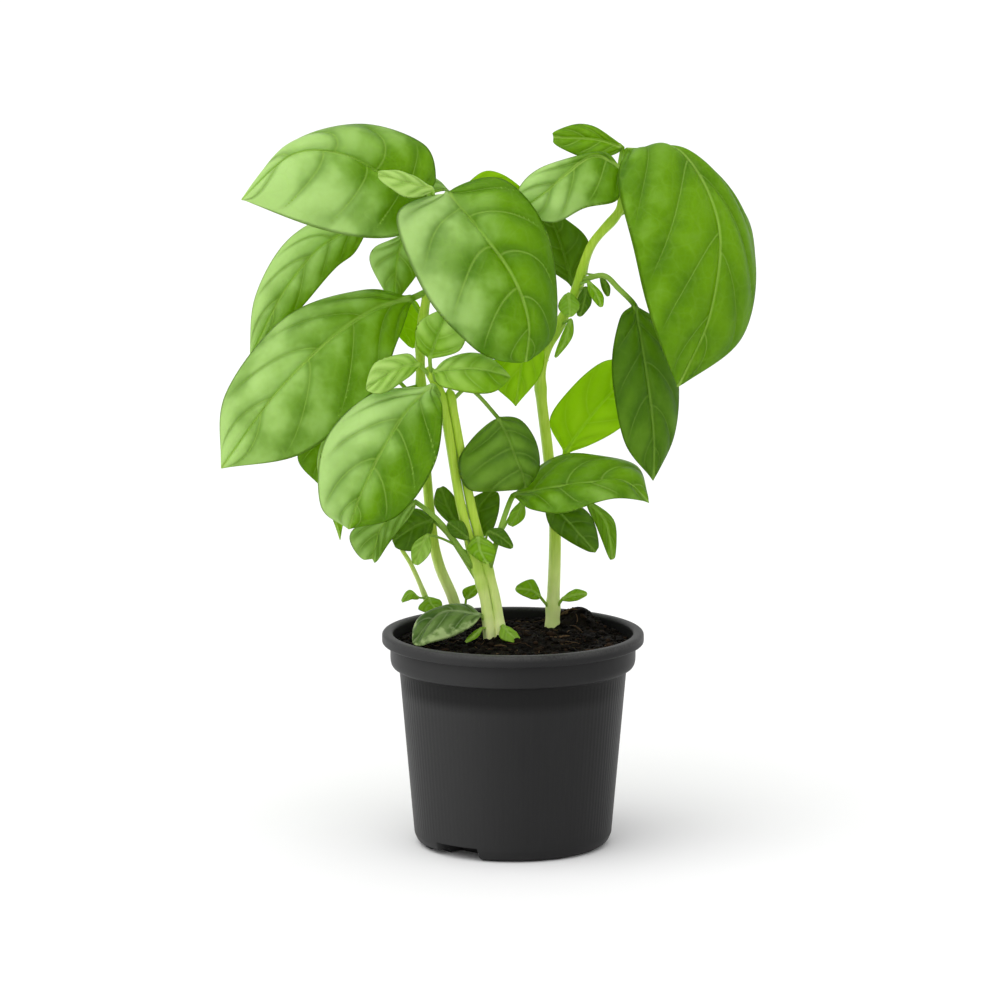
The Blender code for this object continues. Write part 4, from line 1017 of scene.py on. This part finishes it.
def makeLeaf(name, leaf, seed):
    # s(t, a) = midrib(t) + |a| (edge(t) - midrib(t)) + up (crown + fields - groove + wave), with t
    # from the base to the tip and a from -1, the left edge, to 1; the side veins run where phase,
    # pairs (t - reach |a|^1.45 (1 - 0.6 t)), is a whole number, and the fields rise between them
    random = np.random.default_rng(seed)
    rib, stalk = leaf["rib"], leaf["stalk"]
    steps = np.diff(along(rib, np.linspace(0, 1, 40)), axis=0)
    length = float(np.linalg.norm(steps, axis=1).sum())
    spread = np.subtract(*(along([rib[0], *leaf[side], rib[-1]], [0.5])
                           for side in ("right", "left")))
    width = float(np.linalg.norm(spread))
    t, nearStem, middle, left, right = leafLines(leaf, length)
    sideways, up = leafAxes(middle, left, right, spread, int((nearStem > 0).sum()))

    halfColumns = int(np.clip(width * 0.55 + 4, 8, 24))
    a = np.linspace(-1, 1, 2 * halfColumns + 1)
    a = np.sign(a) * np.abs(a) ** 1.25
    off, t = np.abs(a)[None, :], t[:, None]
    edge = np.where(a[None, :, None] > 0, right[:, None], left[:, None])
    blade = np.linalg.norm(right - left, axis=1)[:, None]
    reachOut = np.linalg.norm(edge - middle[:, None], axis=2) * off  # mm from the midrib
    pairs = next(pairs for above, pairs in leafStyle["veinPairs"] if length > above)
    phase = pairs * (t - leafStyle["reach"] * off ** 1.45 * (1 - 0.6 * t))
    phase = phase + 0.5 + np.where(a[None, :] > 0, 0.18, -0.05) + 0.1 * random.uniform(-1, 1)
    field = np.abs(np.sin(math.pi * phase)) ** 0.75
    inside = easing(off / 0.16) * easing((1 - off) / 0.3)
    inside = inside * easing(t / 0.12) * easing((1 - t) / 0.2)
    crown = leafStyle["crown"] * blade * np.sin(math.pi * off ** 0.85)
    puff = leafStyle["puff"] * blade * (field * 1.5 - 0.75) * inside
    groove = leafStyle["groove"] * min(1.0, width / 30) * np.exp(-(reachOut / 1.3) ** 2)
    groove = groove * easing(t / 0.08)
    wave = 2 * math.pi * (2.6 * t + random.uniform(0, 1)) + np.where(a > 0, 1.9, 0)[None, :]
    wave = np.sin(wave) * off ** 4 * leafStyle["marginWave"] * min(1.0, width / 25)
    wave = wave * np.sin(math.pi * t)
    surface = middle[:, None] + off[..., None] * (edge - middle[:, None])
    surface = surface + up[:, None] * (crown + puff - groove + wave)[..., None]
    ring = leafSkins(surface, up, sideways, a, t, reachOut, stalk, width)
    rows, sides = ring.shape[:2]

    def bothSkins(*fields):
        # three numbers over the sheet, carried round both skins
        fields = [np.broadcast_to(field, (rows, len(a))) for field in fields]
        return np.stack([np.concatenate([field[:, ::-1], field[:, 1:-1]], axis=1)
                         for field in fields], axis=-1)

    # the leaf's painted light: a level of painted sheen (painted shade below 0), a painted glow,
    # and the sheen's growth towards the tip and the right edge
    paintedLightLevel, paintedGlow, toTip, toRight = paintedLeafLight.get(name, plainPaintedLight)
    blades = bothSkins(a[None, :], t, 0.0)
    blades[:, :len(a), 2] = 1.0
    blades[:, [0, len(a) - 1], 2] = 0.5
    ribShare = reachOut / (0.35 + 0.55 * stalk * (1 - 0.75 * t))
    slot = leafSlot(name)
    return addPiece("blade_" + name, ring, tubeFaces(rows, sides),
                    leafFinish(otherFinish.get(name, slot)), name, {
                        "blade": blades, "veins": bothSkins(phase, length / pairs * 0.8, ribShare),
                        "tone": bothSkins(paintedLightLevel + toTip * (2 * t - 1) + toRight * a[None, :],
                                          paintedGlow, nearStem[:, None])})


studio = {
    "worldStrength": 0.93, "floor": (0.86, 0.86, 0.86), "floorSize": 6.0,
    # the sun: the direction it comes from, its spread in degrees and its strength
    "sunFrom": (-0.42, -0.42, 1.0), "sunSpread": 64.0, "sunStrength": 1.4,
    # the camera: what it looks at in mm, its distance in m, its height in degrees and its lens
    "target": (-5.2, 0.0, 139.5), "distance": 2.2, "elevation": 9.85, "lens": 198.4,
}


def makeStage():
    # one pale sheet under the plant, white light all round, a broad soft sun at the upper left
    size = studio["floorSize"]
    mesh = bpy.data.meshes.new("studio_floor")
    corners = [(-size, -size, 0), (size, -size, 0), (size, size, 0), (-size, size, 0)]
    mesh.from_pydata(corners, [], [(0, 1, 2, 3)])
    material, shader, place = newMaterial("studio_paper", {"Roughness": 0.9})
    shaded = tuple(0.99 * value for value in studio["floor"])
    plug(shader, {"Base Color": place.noise(40.0, 2.0).blend(shaded, studio["floor"])})
    mesh.materials.append(material)
    floor = bpy.data.objects.new("studio_floor", mesh)
    floor.location.z = plantFoot[2] * millimetre
    scene.collection.objects.link(floor)
    world = bpy.data.worlds.new("studio_white")
    world.use_nodes = True
    background = world.node_tree.nodes["Background"]
    background.inputs["Color"].default_value = (1, 1, 1, 1)
    background.inputs["Strength"].default_value = studio["worldStrength"]
    scene.world = world
    light = bpy.data.lights.new("window", "SUN")
    light.energy = studio["sunStrength"]
    light.angle = math.radians(studio["sunSpread"])
    lamp = bpy.data.objects.new("window", light)
    lamp.rotation_euler = Vector(studio["sunFrom"]).to_track_quat("Z", "Y").to_euler()
    scene.collection.objects.link(lamp)


def makeCamera():
    # straight ahead of the plant's front, a little above it
    rise = math.radians(studio["elevation"])
    target = Vector((plantFoot + studio["target"]) * millimetre)
    camera = bpy.data.cameras.new("camera")
    camera.lens = studio["lens"]
    camera.sensor_width = 36.0
    camera.clip_end = 50.0
    view = bpy.data.objects.new("camera", camera)
    view.location = target + studio["distance"] * Vector((0, -math.cos(rise), math.sin(rise)))
    view.rotation_euler = (math.pi / 2 - rise, 0, 0)
    scene.collection.objects.link(view)
    scene.camera = view
    scene.view_settings.view_transform = "Standard"


makeStage()
makeCamera()
print("stage and camera set")
makePot()
makeSoil()
for name, stem in stems.items():
    makeStem(name, stem)
print("stems:", len(stems))
stray, faces = 0.0, 0
for seed, (name, leaf) in enumerate(leaves.items(), start=1):
    piece = makeLeaf(name, leaf, seed)
    stray, faces = max(stray, strayOf(piece, name)), faces + len(piece.data.polygons)
print("leaves:", len(leaves), "with", faces, "faces; furthest from its node", round(stray, 2), "mm")
